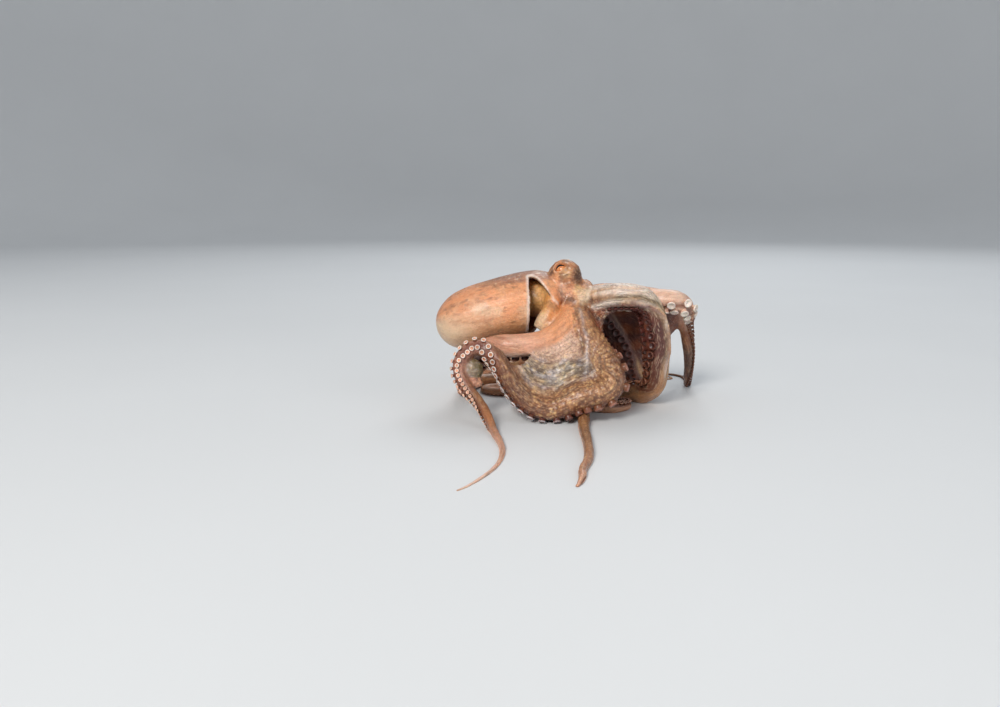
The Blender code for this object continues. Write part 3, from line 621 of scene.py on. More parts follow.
# ================================ meshes ================================
def linear(colour):
    """A colour given as it looks, made linear."""
    c = np.array(colour, float)
    return np.where(c <= 0.04045, c / 12.92, ((c + 0.055) / 1.055) ** 2.4)


def drawing_origin():
    """Where the drawing's origin lies in the frame: the middle of the solid eye, less its place in the
    drawing."""
    low, high = (np.array(corner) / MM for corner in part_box("eye_right"))
    mound, way = EYES["eye_right"]
    return (low + high) / 2 - (mound + EYE_SET * unit(way))


ORIGIN = drawing_origin() * (1, 1, 0)


def new_mesh(name, points, face_groups):
    """A mesh in metres, in the frame, from points in the drawing and groups of faces of one length."""
    mesh = bpy.data.meshes.new(name)
    corners = np.concatenate([np.asarray(group).ravel() for group in face_groups])
    sizes = np.concatenate([np.full(len(group), np.shape(group)[1]) for group in face_groups])
    mesh.vertices.add(len(points))
    mesh.vertices.foreach_set("co", ((points + ORIGIN) * MM).astype(np.float32).ravel())
    mesh.loops.add(len(corners))
    mesh.loops.foreach_set("vertex_index", corners.astype(np.int32))
    mesh.polygons.add(len(sizes))
    mesh.polygons.foreach_set("loop_start", np.concatenate(([0], np.cumsum(sizes)[:-1])).astype(np.int32))
    mesh.update(calc_edges=True)
    mesh.validate()
    mesh.shade_smooth()
    return mesh


def read_points(mesh):
    """A mesh's points, in the drawing's millimetres."""
    flat = np.empty(len(mesh.vertices) * 3, np.float32)
    mesh.vertices.foreach_get("co", flat)
    return flat.reshape(-1, 3).astype(float) / MM - ORIGIN


def write_points(mesh, points):
    """Moves a mesh's points to places in the drawing."""
    mesh.vertices.foreach_set("co", ((points + ORIGIN) * MM).astype(np.float32).ravel())
    mesh.update()


def read_normals(mesh):
    """The way each point of a mesh faces."""
    flat = np.empty(len(mesh.vertices) * 3, np.float32)
    mesh.vertex_normals.foreach_get("vector", flat)
    return flat.reshape(-1, 3).astype(float)


def read_edges(mesh):
    """The two points of each edge of a mesh."""
    flat = np.empty(len(mesh.edges) * 2, np.int32)
    mesh.edges.foreach_get("vertices", flat)
    return flat.reshape(-1, 2)


def outwards(mesh):
    """Turns the faces of each closed part of a mesh outwards."""
    work = bmesh.new()
    work.from_mesh(mesh)
    bmesh.ops.recalc_face_normals(work, faces=work.faces)
    work.to_mesh(mesh)
    work.free()


def spread(values, edges, times, keep=0.5):
    """Values at the points of a mesh, each eased towards the mean of its neighbours."""
    count = np.bincount(edges.ravel(), minlength=len(values)).clip(1)
    for _ in range(times):
        total = np.zeros_like(values)
        for a, b in ((0, 1), (1, 0)):
            if values.ndim == 1:
                total += np.bincount(edges[:, a], values[edges[:, b]], len(values))
            else:
                for axis in range(values.shape[1]):
                    total[:, axis] += np.bincount(edges[:, a], values[edges[:, b], axis], len(values))
        mean = total / (count if values.ndim == 1 else count[:, None])
        values = values * keep + mean * (1 - keep)
    return values


def set_colour(mesh, name, colours):
    """Gives each point of a mesh a colour, for its material."""
    layer = mesh.attributes.new(name, "FLOAT_COLOR", "POINT")
    rows = np.column_stack((colours, np.ones(len(colours))))
    layer.data.foreach_set("color", rows.astype(np.float32).ravel())


def set_number(mesh, name, values):
    """Gives each point of a mesh a number, for its material."""
    layer = mesh.attributes.new(name, "FLOAT", "POINT")
    layer.data.foreach_set("value", np.asarray(values, np.float32))


def set_vector(mesh, name, values):
    """Gives each point of a mesh three numbers, for its material."""
    layer = mesh.attributes.new(name, "FLOAT_VECTOR", "POINT")
    layer.data.foreach_set("vector", np.asarray(values, np.float32).ravel())


def in_scene(thing):
    """Links an object to the scene."""
    bpy.context.scene.collection.objects.link(thing)
    return thing


def changed_by(mesh, kind, **settings):
    """A new mesh: what a modifier with those settings makes of the old one."""
    body = in_scene(bpy.data.objects.new("body", mesh))
    modifier = body.modifiers.new("change", kind)
    for key, value in settings.items():
        setattr(modifier, key, value)
    changed = bpy.data.meshes.new_from_object(body.evaluated_get(bpy.context.evaluated_depsgraph_get()))
    bpy.data.objects.remove(body)
    return changed


def add_piece(name, mesh, material, slot, *nodes):
    """A piece of the animal: an object for the mesh that rides on the still body."""
    piece = in_scene(bpy.data.objects.new(name, mesh))
    mesh.materials.clear()
    mesh.materials.append(material)
    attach(piece, "root")
    if nodes:
        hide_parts(*nodes)
    return piece


# ================================ where each point of the skin belongs ================================
ARM_LINES = {name: Arm(**facts) for name, facts in ARMS.items()}
ARM_NUMBERS = {name: number for number, name in enumerate(ARM_LINES)}
WEB_NUMBERS = {name: number for number, name in enumerate(WEBS)}


def nearest_on(points, samples, reach, rows=4000):
    """For each point, the sample with the least distance less its reach, and that least value."""
    index, least = np.empty(len(points), int), np.empty(len(points))
    square = np.sum(samples**2, 1)
    for start in range(0, len(points), rows):
        p = points[start:start + rows]
        far = np.sqrt(np.maximum(np.sum(p**2, 1)[:, None] + square - 2 * p @ samples.T, 0)) - reach
        index[start:start + rows] = np.argmin(far, 1)
        least[start:start + rows] = np.min(far, 1)
    return index, least


class Flesh:
    """The places of points on the skin. For the nearest arm: its number, how far outside its radius,
    the share and the length along it, and the angle round it, 0 at the middle of the back and half
    a turn at the groove between the suckers."""

    def __init__(self, points, normals):
        self.points, self.normals = points, normals
        count = len(points)
        self.arm, self.arm_gap = np.zeros(count, int), np.full(count, 99.0)
        self.share, self.along, self.round, self.girth = (np.zeros(count) for _ in range(4))
        for number, arm in enumerate(ARM_LINES.values()):
            index, gap = nearest_on(points, arm.centre, arm.radius)
            offset = points - arm.centre[index]
            sideways = np.sum(offset * arm.across[index], 1)
            angle = np.arctan2(sideways, -np.sum(offset * arm.facing[index], 1))
            along = arm.share[index] * arm.length + np.sum(offset * arm.tangent[index], 1)
            closer = np.abs(gap) < np.abs(self.arm_gap)
            self.arm = np.where(closer, number, self.arm)
            self.arm_gap = np.where(closer, gap, self.arm_gap)
            self.share = np.where(closer, arm.share[index], self.share)
            self.along = np.where(closer, along, self.along)
            self.round = np.where(closer, angle, self.round)
            self.girth = np.where(closer, arm.radius[index], self.girth)
        self.head_gap = head_distance(points)
        self.read_mantle()
        centre, _, radius = funnel_line()
        self.funnel_index, self.funnel_gap = nearest_on(points, centre, radius)
        self.funnel_share = self.funnel_index / len(centre)
        self.hem = self.along_arms(ARM_HEMS, others=1.85)
        self.knuckle_gaps = np.stack([
            (np.linalg.norm((points - np.array(middle)) / half, axis=1) - 1) * min(half)
            for middle, half in CURL_FORMS])
        self.weigh()
        self.read_webs()
        self.read_fold()
        self.lay_out()

    def read_mantle(self):
        """The length along the mantle's axis, the way round it and how high up that is, how far outside
        its outer surface each point lies and how far behind its rim, and whether it is in the cavity."""
        t = (self.points - MANTLE_FRONT) @ MANTLE_ALONG
        offset = self.points - mantle_centre(t)
        side, rise = offset @ MANTLE_SIDE, offset @ MANTLE_RISE
        far = np.hypot(side, rise)
        self.mantle_t = t
        self.mantle_rise = rise / np.maximum(far, 1)
        self.mantle_turn = np.arctan2(rise, side)
        radius = mantle_radius(np.clip(t, 0, MANTLE_LENGTH))
        tail = np.maximum(t - MANTLE_FULLEST, 0) / (MANTLE_LENGTH - MANTLE_FULLEST)
        behind = np.linalg.norm(np.stack((tail, far / MANTLE_RADIUS)), axis=0)
        self.mantle_gap = np.where(t < MANTLE_FULLEST, far - radius,
                                   np.minimum((behind - 1) * TAIL_SCALE, far - radius))
        turned = self.mantle_turn + mantle_twist(t)
        rim = mantle_rim(turned)
        before = mantle_rim(self.mantle_turn + mantle_twist(t - 1))
        after = mantle_rim(self.mantle_turn + mantle_twist(t + 1))
        over_t = 1 - (after - before) / 2
        step = 0.02
        over_side = (mantle_rim(turned + step) - mantle_rim(turned - step)) / (
            2 * step * np.maximum(radius, 8))
        self.rim_gap = (t - rim) / np.maximum(np.hypot(over_t, over_side), 1)
        inner = (far < radius - MANTLE_WALL * 0.5) & (t > rim - 1) & (t < MANTLE_POCKET + 4)
        facing_in = np.sum(self.normals * unit(offset), 1) < 0.3
        self.pocket = inner & facing_in

    def weigh(self):
        """How much each point belongs to the arms, head, mantle, funnel, knuckles and webs; the six add
        up to 1."""
        mantle_gap = np.where(self.pocket, 0, np.abs(self.mantle_gap))
        gaps = np.stack((np.abs(self.arm_gap), np.abs(self.head_gap),
                         np.where(self.rim_gap < MANTLE_BEGINS, 99, mantle_gap),
                         np.abs(self.funnel_gap) + FUNNEL_YIELDS,
                         np.min(np.abs(self.knuckle_gaps), 0)))
        web = np.clip(WEB_CLEAR - np.min(gaps, 0), 0, 9)
        strength = np.exp(-np.vstack((gaps, web)) / PART_BLEND)
        parts = strength / strength.sum(0)
        self.arms, self.head, self.mantle, self.funnel, self.knuckles, self.webs = parts

    def read_webs(self, cells=22):
        """For the points of the webs: the web's number, the shares across and along it, and whether the
        point is on its inner side. The shares are read at the nearest corner of a grid over the web and
        moved on by the offset from it, solved in the grid's two directions."""
        count = len(self.points)
        self.web, self.web_across, self.web_along = np.zeros(count, int), np.zeros(count), np.zeros(count)
        self.web_inner = np.zeros(count)
        chosen = np.flatnonzero(self.webs > 0.02)
        sheets, inward, steps = [], [], []
        across, along = np.meshgrid(np.linspace(0, 1, cells + 1), np.linspace(0, 1, cells + 1))
        for first, second, reach_first, reach_second, scoop, lift in WEBS.values():
            a, b = ARM_LINES[first], ARM_LINES[second]
            sheet = web_sheet(a, b, reach_first, reach_second, scoop, lift, cells=cells)
            sheets.append(sheet.reshape(-1, 3))
            both_ways = np.stack((np.gradient(sheet, axis=1), np.gradient(sheet, axis=0)), -1)
            steps.append(both_ways.reshape(-1, 3, 2))
            held = (1 - scoop * np.sin(np.pi * across)) * along
            faces = (a.at(held * reach_first / a.length, a.facing) * (1 - across)[..., None]
                     + b.at(held * reach_second / b.length, b.facing) * across[..., None])
            inward.append(unit(faces).reshape(-1, 3))
        sheets, steps = np.concatenate(sheets), np.concatenate(steps)
        index, _ = nearest_on(self.points[chosen], sheets, 0.0)
        place = index % (cells + 1) ** 2
        basis = steps[index]
        square = np.einsum("nij,nik->njk", basis, basis) + 1e-3 * np.eye(2)
        pull = np.einsum("nij,ni->nj", basis, self.points[chosen] - sheets[index])
        more = np.clip(np.linalg.solve(square, pull[..., None])[..., 0], -1, 1)
        self.web[chosen] = index // (cells + 1) ** 2
        self.web_across[chosen] = (place % (cells + 1) + more[:, 0]) / cells
        self.web_along[chosen] = (place // (cells + 1) + more[:, 1]) / cells
        inner = np.sum(self.normals[chosen] * np.concatenate(inward)[index], 1)
        self.web_inner[chosen] = smoothstep(-0.15, 0.25, inner)

    def read_fold(self):
        """How near each point is to the pale fold, seen from the front, and the strength and phase of the
        wrinkles that fan out below it."""
        front = smoothstep(0.0, 0.4, self.normals @ NEAR) * (self.points[:, 1] < FOLD_NEARER)
        line = spline([(x, z, 0.0) for x, z in FOLD], FOLD_PLACES)[:, :2]
        index, gap = nearest_on(self.points[:, (0, 2)], line, 0.0)
        fade_in, fade_out = FOLD_FADES
        ends = smoothstep(0, fade_in, index) * (1 - smoothstep(fade_out, FOLD_PLACES - 1, index))
        sided_gap = np.where(self.points[:, 0] < line[index, 0], -gap, gap)
        self.fold_gap = sided_gap + 0.9 * noise(self.points, 6.0, 9)
        self.fold = front * ends * (0.7 + 0.3 * noise(self.points, 5.0, 10))
        offset = self.points[:, (0, 2)] - FAN_CENTRE
        far = np.linalg.norm(offset, axis=1)
        turn = np.arctan2(offset[:, 1], offset[:, 0])
        self.fan = front * smoothstep(*FAN_INNER, far) * (1 - smoothstep(*FAN_OUTER, far)) * (
            1 - smoothstep(*FAN_UPPER, turn)) * smoothstep(*FAN_LOWER, turn) * (
            self.points[:, 1] < FAN_NEARER)
        self.fan_phase = 2 * np.pi * (turn + 0.07 * noise(self.points, 8.0, 7)) / FAN_SPACING

    def lay_out(self):
        """Each point's place on its own part in millimetres: along it, round it and the part's number;
        and how surely the point belongs to one part."""
        mantle_place = np.full(len(self.points), MANTLE_PLACE)
        web_place = WEB_PLACE + self.web * NEXT_PART
        self.arm_lay = np.stack((self.along, self.round * self.girth, self.arm * NEXT_PART), 1)
        self.mantle_lay = np.stack((self.mantle_t, self.mantle_turn * MANTLE_RADIUS, mantle_place), 1)
        self.web_lay = np.stack((self.web_along * WEB_LONG, self.web_across * WEB_WIDE, web_place), 1)
        parts = np.stack((self.arms, self.mantle, self.webs, self.head + self.funnel + self.knuckles))
        best = parts.argmax(0)[:, None]
        self.lay = np.where(best == 0, self.arm_lay, np.where(
            best == 1, self.mantle_lay, np.where(best == 2, self.web_lay, self.points)))
        wrapped = (self.mantle > 0.5) * smoothstep(2.8, 3.05, np.abs(self.mantle_turn))
        self.sure = smoothstep(0.55, 0.85, parts.max(0)) * (1 - wrapped)

    def on_arm(self, name):
        """Whether each point is nearest to that arm."""
        return self.arm == ARM_NUMBERS[name]

    def on_web(self, name):
        """Whether each point is nearest to that web."""
        return self.web == WEB_NUMBERS[name]

    def along_arms(self, table, others):
        """A value for each point from an arm's (share, value) pairs, or one value for the other arms."""
        result = np.full(len(self.points), float(others))
        for name, pairs in table.items():
            here = self.on_arm(name)
            result[here] = np.interp(self.share[here], *np.array(pairs).T)
        return result


# ================================ the shape of the skin ================================
def fused_skin():
    """All the surfaces of flesh, joined and fused into one mesh of even cells, then smoothed."""
    surfaces = [arm_surface(arm) for arm in ARM_LINES.values()]
    for first, second, *facts in WEBS.values():
        surfaces.append(web_surface(web_sheet(ARM_LINES[first], ARM_LINES[second], *facts)))
    surfaces += [head_surface(), mantle_surface(), funnel_surface()]
    surfaces += [rounded_form(*form) for form in CURL_FORMS]
    points, groups, count = [], [], 0
    for surface_points, surface_groups in surfaces:
        groups += [np.asarray(group) + count for group in surface_groups]
        points.append(surface_points)
        count += len(surface_points)
    mesh = new_mesh("skin", np.concatenate(points), groups)
    outwards(mesh)
    fused = changed_by(mesh, "REMESH", mode="VOXEL", voxel_size=SKIN_GRAIN * MM, use_smooth_shade=True)
    write_points(fused, spread(read_points(fused), read_edges(fused), SMOOTHINGS, keep=0.4))
    return fused


# How strong folds and grains are along the arms: (share, strength) pairs.
ARM_FOLDS = {
    "arm_right_2": ((0.0, 1.3), (0.06, 1.3), (0.22, 1.0), (0.4, 0.4), (1.0, 0.1)),
    "arm_right_1": ((0.0, 0.7), (0.3, 0.35), (0.6, 0.25), (1.0, 0.05)),
    "arm_right_3": ((0.0, 0.5), (0.08, 0.4), (0.4, 0.45), (0.6, 0.2), (1.0, 0.0)),
    "arm_right_4": ((0.0, 0.3), (0.1, 0.2), (0.3, 0.3), (1.0, 0.05)),
}
ARM_GRAINS = {
    "arm_right_2": ((0.0, 0.15), (0.3, 0.2), (1.0, 0.05)),
    "arm_right_1": ((0.0, 0.2), (0.2, 0.05), (0.45, 0.2), (1.0, 0.05)),
    "arm_right_3": ((0.0, 0.5), (0.08, 0.8), (0.3, 1.0), (0.4, 0.5), (0.5, 0.15), (1.0, 0.0)),
    "arm_right_4": ((0.0, 0.35), (0.05, 0.25), (0.1, 0.05), (0.3, 0.25), (1.0, 0.05)),
}
# The angle round the arm, from the middle of its back, at which the sucker side's tone begins.
ARM_HEMS = {
    "arm_right_2": ((0.0, 2.6), (0.15, 2.6), (0.2, 1.5), (0.36, 1.4), (0.42, 1.85), (1.0, 1.85)),
    "arm_right_3": ((0.0, 2.2), (0.3, 2.1), (0.5, 1.9), (1.0, 1.9)),
    "arm_right_1": ((0.0, 2.2), (0.25, 2.3), (0.5, 1.9), (1.0, 1.9)),
}
LIP_END = 0.34                 # share of the arched arm along which a pale raised lip follows its hem
LIP_ABOVE_HEM, LIP_WIDTH = 0.42, 0.2        # its place and width, in the angle round the arm

# Grains, warts and spots are raised and coloured by the same patterns, so they share seeds and sizes.
ARM_GRAIN_SEED, WEB_GRAIN_SEED = 21, 41
WART_SIZE, WART_SEED = 3.6, 51
SPOT_SIZE, SPOT_SEED = 4.2, 65
# How strong each kind of relief is, in millimetres. The furrow and the funnel's waist go in.
HEIGHTS = {
    "arm folds": 0.75, "arm grains": 1.1, "arm swell": 0.35, "arch lip": 1.8,
    "web grains": 0.9, "web streaks": 0.5, "web swell": 0.4,
    "head warts": 1.3, "head swell": 0.45,
    "mantle swell": 0.4, "mantle creases": 0.25, "mantle spots": 0.5, "mantle rim": 0.5,
    "funnel mouth": 1.0, "funnel waist": 1.0,
    "pale fold": 1.1, "furrow": 0.8, "wrinkles": 0.5,
}
# How pebbled and how crinkled the fine finish of each part is, beside the arms.
PEBBLED = {"webs": 0.6, "head": 0.5, "mantle": 0.15, "knuckles": 0.6}
CRINKLED = {"webs": 0.7, "inner webs": 0.3, "head": 0.35, "mantle": 0.16, "knuckles": 0.3}


def arch_lip(flesh):
    """How near each point is to the raised lip along the hem of the arched arm."""
    arched = flesh.on_arm("arm_right_2")
    near_end = 1 - smoothstep(LIP_END - 0.05, LIP_END, flesh.share)
    return arched * bell(np.abs(flesh.round), flesh.hem - LIP_ABOVE_HEM, LIP_WIDTH) * near_end


def relief(flesh):
    """How far each point of the skin stands out: folds along the arms, grains on the backs of the arms
    and webs, the pale fold and the fan of wrinkles, warts on the head and creases on the mantle."""
    p = flesh.points
    back = 1 - smoothstep(flesh.hem - 0.25, flesh.hem + 0.2, np.abs(flesh.round))
    folds = 1 - 2.6 * np.abs(streaks_on(flesh.arm_lay, 6.0, 3.8, 2, 11))
    grains, _ = grains_on(flesh.arm_lay, ARM_GRAIN_SEED)
    arms = back * (flesh.along_arms(ARM_FOLDS, others=0.3) * folds * HEIGHTS["arm folds"]
                   + flesh.along_arms(ARM_GRAINS, others=0.35) * (grains - 0.3) * HEIGHTS["arm grains"])
    arms += HEIGHTS["arm swell"] * noise(p, 7.0, 31) + HEIGHTS["arch lip"] * arch_lip(flesh)
    grains, _ = grains_on(flesh.web_lay, WEB_GRAIN_SEED)
    streaks = streaks_on(flesh.web_lay, 5.0, 3.4, 2, 45)
    webs = HEIGHTS["web grains"] * (grains - 0.3) + HEIGHTS["web streaks"] * streaks
    webs = (1 - flesh.web_inner) * webs + HEIGHTS["web swell"] * noise(p, 9.0, 43)
    warts, number = pebbles(p, WART_SIZE, WART_SEED)
    head = HEIGHTS["head warts"] * np.maximum(warts - 0.4, 0) * (number > 0.35)
    head += HEIGHTS["head swell"] * noise(p, 6.0, 53)
    spots, number = pebbles(p, SPOT_SIZE, SPOT_SEED)
    mantle = HEIGHTS["mantle swell"] * noise(p, 16.0, 63)
    mantle += HEIGHTS["mantle creases"] * streaks_on(flesh.mantle_lay, 5.0, 4.0, 2, 61)
    mantle += HEIGHTS["mantle spots"] * np.maximum(spots - 0.6, 0) * (number > 0.5)
    mantle = mantle * ~flesh.pocket + HEIGHTS["mantle rim"] * bell(flesh.rim_gap, 0.5, 1.2)
    funnel = (HEIGHTS["funnel mouth"] * bell(flesh.funnel_share, 0.9, 0.2)
              - HEIGHTS["funnel waist"] * bell(flesh.funnel_share, 0.5, 0.13))
    fold = flesh.fold * (HEIGHTS["pale fold"] * bell(flesh.fold_gap, 0, 1.3)
                         - HEIGHTS["furrow"] * bell(flesh.fold_gap, FURROW_PLACE, 1.5))
    fan = HEIGHTS["wrinkles"] * flesh.fan * np.cos(flesh.fan_phase)
    return (flesh.arms * arms + flesh.webs * webs + flesh.head * head + flesh.mantle * mantle
            + flesh.funnel * funnel + fold + fan)


# ================================ the colours of the skin ================================
TONES = {name: linear(colour) for name, colour in {
    "milk": (0.97, 0.91, 0.86),
    "cream": (0.94, 0.85, 0.72),
    "shell": (0.95, 0.80, 0.71),
    "salmon": (0.93, 0.63, 0.44),
    "rose": (0.89, 0.64, 0.52),
    "tan": (0.79, 0.57, 0.39),
    "sienna": (0.68, 0.42, 0.25),
    "rust": (0.55, 0.29, 0.16),
    "mauve": (0.66, 0.45, 0.38),
    "brown": (0.48, 0.29, 0.19),
    "umber": (0.31, 0.19, 0.13),
    "maroon": (0.36, 0.18, 0.15),
    "wine": (0.25, 0.12, 0.11),
    "olive": (0.46, 0.39, 0.27),
    "moss": (0.45, 0.43, 0.30),
    "stone": (0.60, 0.54, 0.46),
    "pearl": (0.80, 0.77, 0.78),
    "gold": (0.94, 0.78, 0.54),
    "amber": (0.90, 0.60, 0.27),
    "honey": (0.82, 0.47, 0.17),
    "ochre": (0.76, 0.55, 0.27),
}.items()}

# The tones of each arm's back along it.
ARM_BACKS = {
    "arm_right_2": ((0.0, "tan"), (0.025, "cream"), (0.06, "milk"), (0.14, "milk"), (0.19, "cream"),
                    (0.25, "stone"), (0.34, "tan"), (1.0, "rose")),
    "arm_right_1": ((0.0, "tan"), (0.15, "rose"), (0.28, "shell"), (0.36, "rose"), (0.4, "brown"),
                    (0.46, "umber"), (0.7, "umber"), (1.0, "tan")),
    "arm_right_3": ((0.0, "tan"), (0.06, "sienna"), (0.14, "tan"), (0.2, "tan"), (0.3, "sienna"),
                    (0.38, "brown"), (0.45, "brown"), (0.5, "mauve"), (0.56, "mauve"), (0.6, "brown"),
                    (0.66, "sienna"), (0.74, "rose"), (1.0, "shell")),
    "arm_right_4": ((0.0, "salmon"), (0.1, "salmon"), (0.14, "rose"), (0.24, "rose"), (0.34, "tan"),
                    (0.6, "tan"), (1.0, "rose")),
    "arm_left_4": ((0.0, "brown"), (0.3, "brown"), (0.5, "sienna"), (0.7, "brown"), (0.85, "sienna"),
                   (1.0, "rose")),
}
OTHER_BACKS = ((0.0, "sienna"), (0.2, "tan"), (0.5, "sienna"), (1.0, "rose"))
# The tone of its streaks and how strong they are, and the tones of its sucker side.
ARM_STREAK_TONES = {"arm_right_2": "olive", "arm_right_1": "sienna", "arm_right_3": "umber"}
ARM_STREAKS = {
    "arm_right_2": ((0.0, 0.9), (0.2, 0.8), (0.4, 0.6), (1.0, 0.3)),
    "arm_right_1": ((0.0, 0.8), (0.3, 0.35), (1.0, 0.4)),
    "arm_right_3": ((0.0, 0.8), (0.12, 0.5), (0.3, 0.75), (0.5, 0.5), (1.0, 0.3)),
    "arm_right_4": ((0.0, 0.25), (0.1, 0.4), (0.3, 0.65), (1.0, 0.4)),
    "arm_left_4": ((0.0, 0.5), (0.5, 0.85), (1.0, 0.6)),
}
ARM_ORAL = {
    "arm_right_1": ((0.0, "maroon"), (0.2, "rose"), (0.28, "shell"), (0.36, "shell"), (0.4, "brown"),
                    (0.46, "umber"), (1.0, "brown")),
    "arm_right_3": ((0.0, "maroon"), (0.08, "rust"), (0.14, "brown"), (0.24, "brown"), (0.3, "maroon"),
                    (0.42, "brown"), (0.49, "mauve"), (0.55, "mauve"), (0.6, "brown"), (0.66, "brown"),
                    (0.8, "rose"), (1.0, "rose")),
}
OTHER_ORAL = ((0.0, "maroon"), (0.25, "maroon"), (0.4, "brown"), (1.0, "brown"))


def blend_tones(first, second, share):
    """first x (1 - share) + second x share, for colours of points."""
    share = np.clip(share, 0, 1)[:, None]
    return first * (1 - share) + second * share


def toned(colours, name, share):
    """Colours turned towards a named tone by a share."""
    return blend_tones(colours, TONES[name], share)


def tones_along(pairs, share):
    """Tones read between (share, name) pairs."""
    stops = np.array([stop for stop, _ in pairs])
    return np.stack([np.interp(share, stops, [TONES[name][c] for _, name in pairs]) for c in range(3)], 1)


def grain_tones(colours, lay, seed, strength):
    """Pale gold grains, with umber in the low skin between them as painted shade."""
    grains, number = grains_on(lay, seed)
    # Umber in the low skin between the grains: painted shade.
    colours = toned(colours, "umber", 0.5 * strength * (1 - smoothstep(0.08, 0.4, grains)))
    own = 0.35 + 0.65 * number
    return toned(colours, "gold", 0.85 * strength * smoothstep(0.42, 0.75, grains) * own)


def arm_colours(flesh):
    """Backs in their own tones with streaks along them and pale grains; sucker sides darker, and a
    milk-white lip along the arched arm. Arms without tones of their own are mottled."""
    p, share, off = flesh.points, flesh.share, np.abs(flesh.round)
    colours, streak_tone, oral = (np.zeros((len(p), 3)) for _ in range(3))
    for name in ARM_LINES:
        here = flesh.on_arm(name)
        colours[here] = tones_along(ARM_BACKS.get(name, OTHER_BACKS), share[here])
        streak_tone[here] = TONES[ARM_STREAK_TONES.get(name, "brown")]
        oral[here] = tones_along(ARM_ORAL.get(name, OTHER_ORAL), share[here])
    arched = flesh.on_arm("arm_right_2") * (1 - smoothstep(0.2, 0.3, share))
    colours = near_arm_bands(flesh, colours, arched)
    streaks = smoothstep(-0.05, 0.4, streaks_on(flesh.arm_lay, 7.0, 2.4, 3, 71))
    calm_top = 1 - 0.75 * arched * (1 - smoothstep(0.9, 1.3, off))
    strength = flesh.along_arms(ARM_STREAKS, others=0.5) * calm_top
    colours = blend_tones(colours, streak_tone, streaks * strength)
    plain = ~np.isin(flesh.arm, [ARM_NUMBERS[name] for name in ARM_BACKS])
    colours = toned(colours, "umber", 0.55 * plain * smoothstep(0.0, 0.45, fractal(p, 10.0, 3, 79)))
    colours = toned(colours, "gold", 0.35 * plain * smoothstep(0.05, 0.4, fractal(p, 12.0, 3, 80)))
    colours = colours * (1 + 0.22 * fractal(p, 9.0, 3, 73))[:, None]
    colours = grain_tones(colours, flesh.arm_lay, ARM_GRAIN_SEED, flesh.along_arms(ARM_GRAINS, others=0.45))
    facing = smoothstep(flesh.hem - 0.12, flesh.hem + 0.22, off)
    colours = blend_tones(colours, oral * (1 + 0.25 * fractal(p, 5.0, 2, 75))[:, None], facing)
    return toned(colours, "milk", smoothstep(0.15, 0.75, arch_lip(flesh)))


def near_arm_bands(flesh, colours, arched):
    """Bands along the arms in front: olive and brown under the arched arm's pale top, pink along the
    lower side of arm_right_4, and brown along that of arm_right_3 where it is bent."""
    share, off = flesh.share, np.abs(flesh.round)
    rough = 0.18 * streaks_on(flesh.arm_lay, 3.0, 5.0, 3, 77)
    colours = toned(colours, "olive", 0.95 * arched * bell(off + rough, flesh.hem - 0.95, 0.3))
    colours = toned(colours, "brown", 0.8 * arched * bell(off + rough, flesh.hem - 0.08, 0.18))
    pink = 0.75 * flesh.on_arm("arm_right_4") * smoothstep(0.9, 1.6, off + rough)
    pink = pink * smoothstep(0.03, 0.09, share) * (1 - smoothstep(0.3, 0.4, share))
    colours = toned(colours, "shell", pink)
    bent = flesh.on_arm("arm_right_3") * smoothstep(0.1, 0.16, share) * (1 - smoothstep(0.4, 0.5, share))
    return toned(colours, "brown", 0.7 * bent * smoothstep(1.2, 1.9, off + rough))


def web_colours(flesh):
    """Streaks of dark grey-brown and lavender along the web, tan with pale grains towards the arms; the
    near web turns salmon towards the crown and arm_right_4. Inner sides are maroon and rust, partly their
    own tone and partly painted shade; the web under the arched arm is rust and umber as painted shade."""
    p, lay = flesh.points, flesh.web_lay
    across, along = flesh.web_across, flesh.web_along
    rough = 0.12 * fractal(p, 8.0, 3, 87)
    dark = smoothstep(-0.3, 0.3, streaks_on(lay, 4.5, 3.4, 3, 81))
    colours = blend_tones(TONES["stone"], TONES["umber"], dark)
    colours = toned(colours, "pearl", 0.75 * smoothstep(0.1, 0.45, streaks_on(lay, 4, 3.0, 2, 83)))
    near = flesh.on_web("web_right_3_4")
    from_arm = np.where(near, across, np.minimum(across, 1 - across) * 1.6)
    colours = toned(colours, "tan", 1 - smoothstep(0.1, 0.42, from_arm + rough))
    toward = across + 0.9 * np.maximum(0.6 - along, 0) + 1.5 * rough
    salmon = smoothstep(0.45, 1.0, toward)
    colours = toned(colours, "salmon", near * salmon)
    colours = toned(colours, "shell", 0.8 * near * bell(toward, 0.8, 0.2))
    colours = grain_tones(colours, lay, WEB_GRAIN_SEED, 0.9 * (1 - 0.8 * near * salmon))
    # Maroon and rust on the inner sides: the sucker side's own tone, darkened as painted shade.
    inner = blend_tones(TONES["maroon"], TONES["rust"], smoothstep(-0.2, 0.6, fractal(p, 8.0, 3, 85)))
    # Rust and umber on the web under the arched arm: painted shade.
    under = flesh.on_web("web_right_2_3")[:, None]
    painted_shade_under_arch = blend_tones(TONES["rust"], TONES["umber"], smoothstep(-0.3, 0.4, fractal(p, 6.0, 3, 89)))
    colours = np.where(under, painted_shade_under_arch, colours)
    return blend_tones(colours, inner, flesh.web_inner)


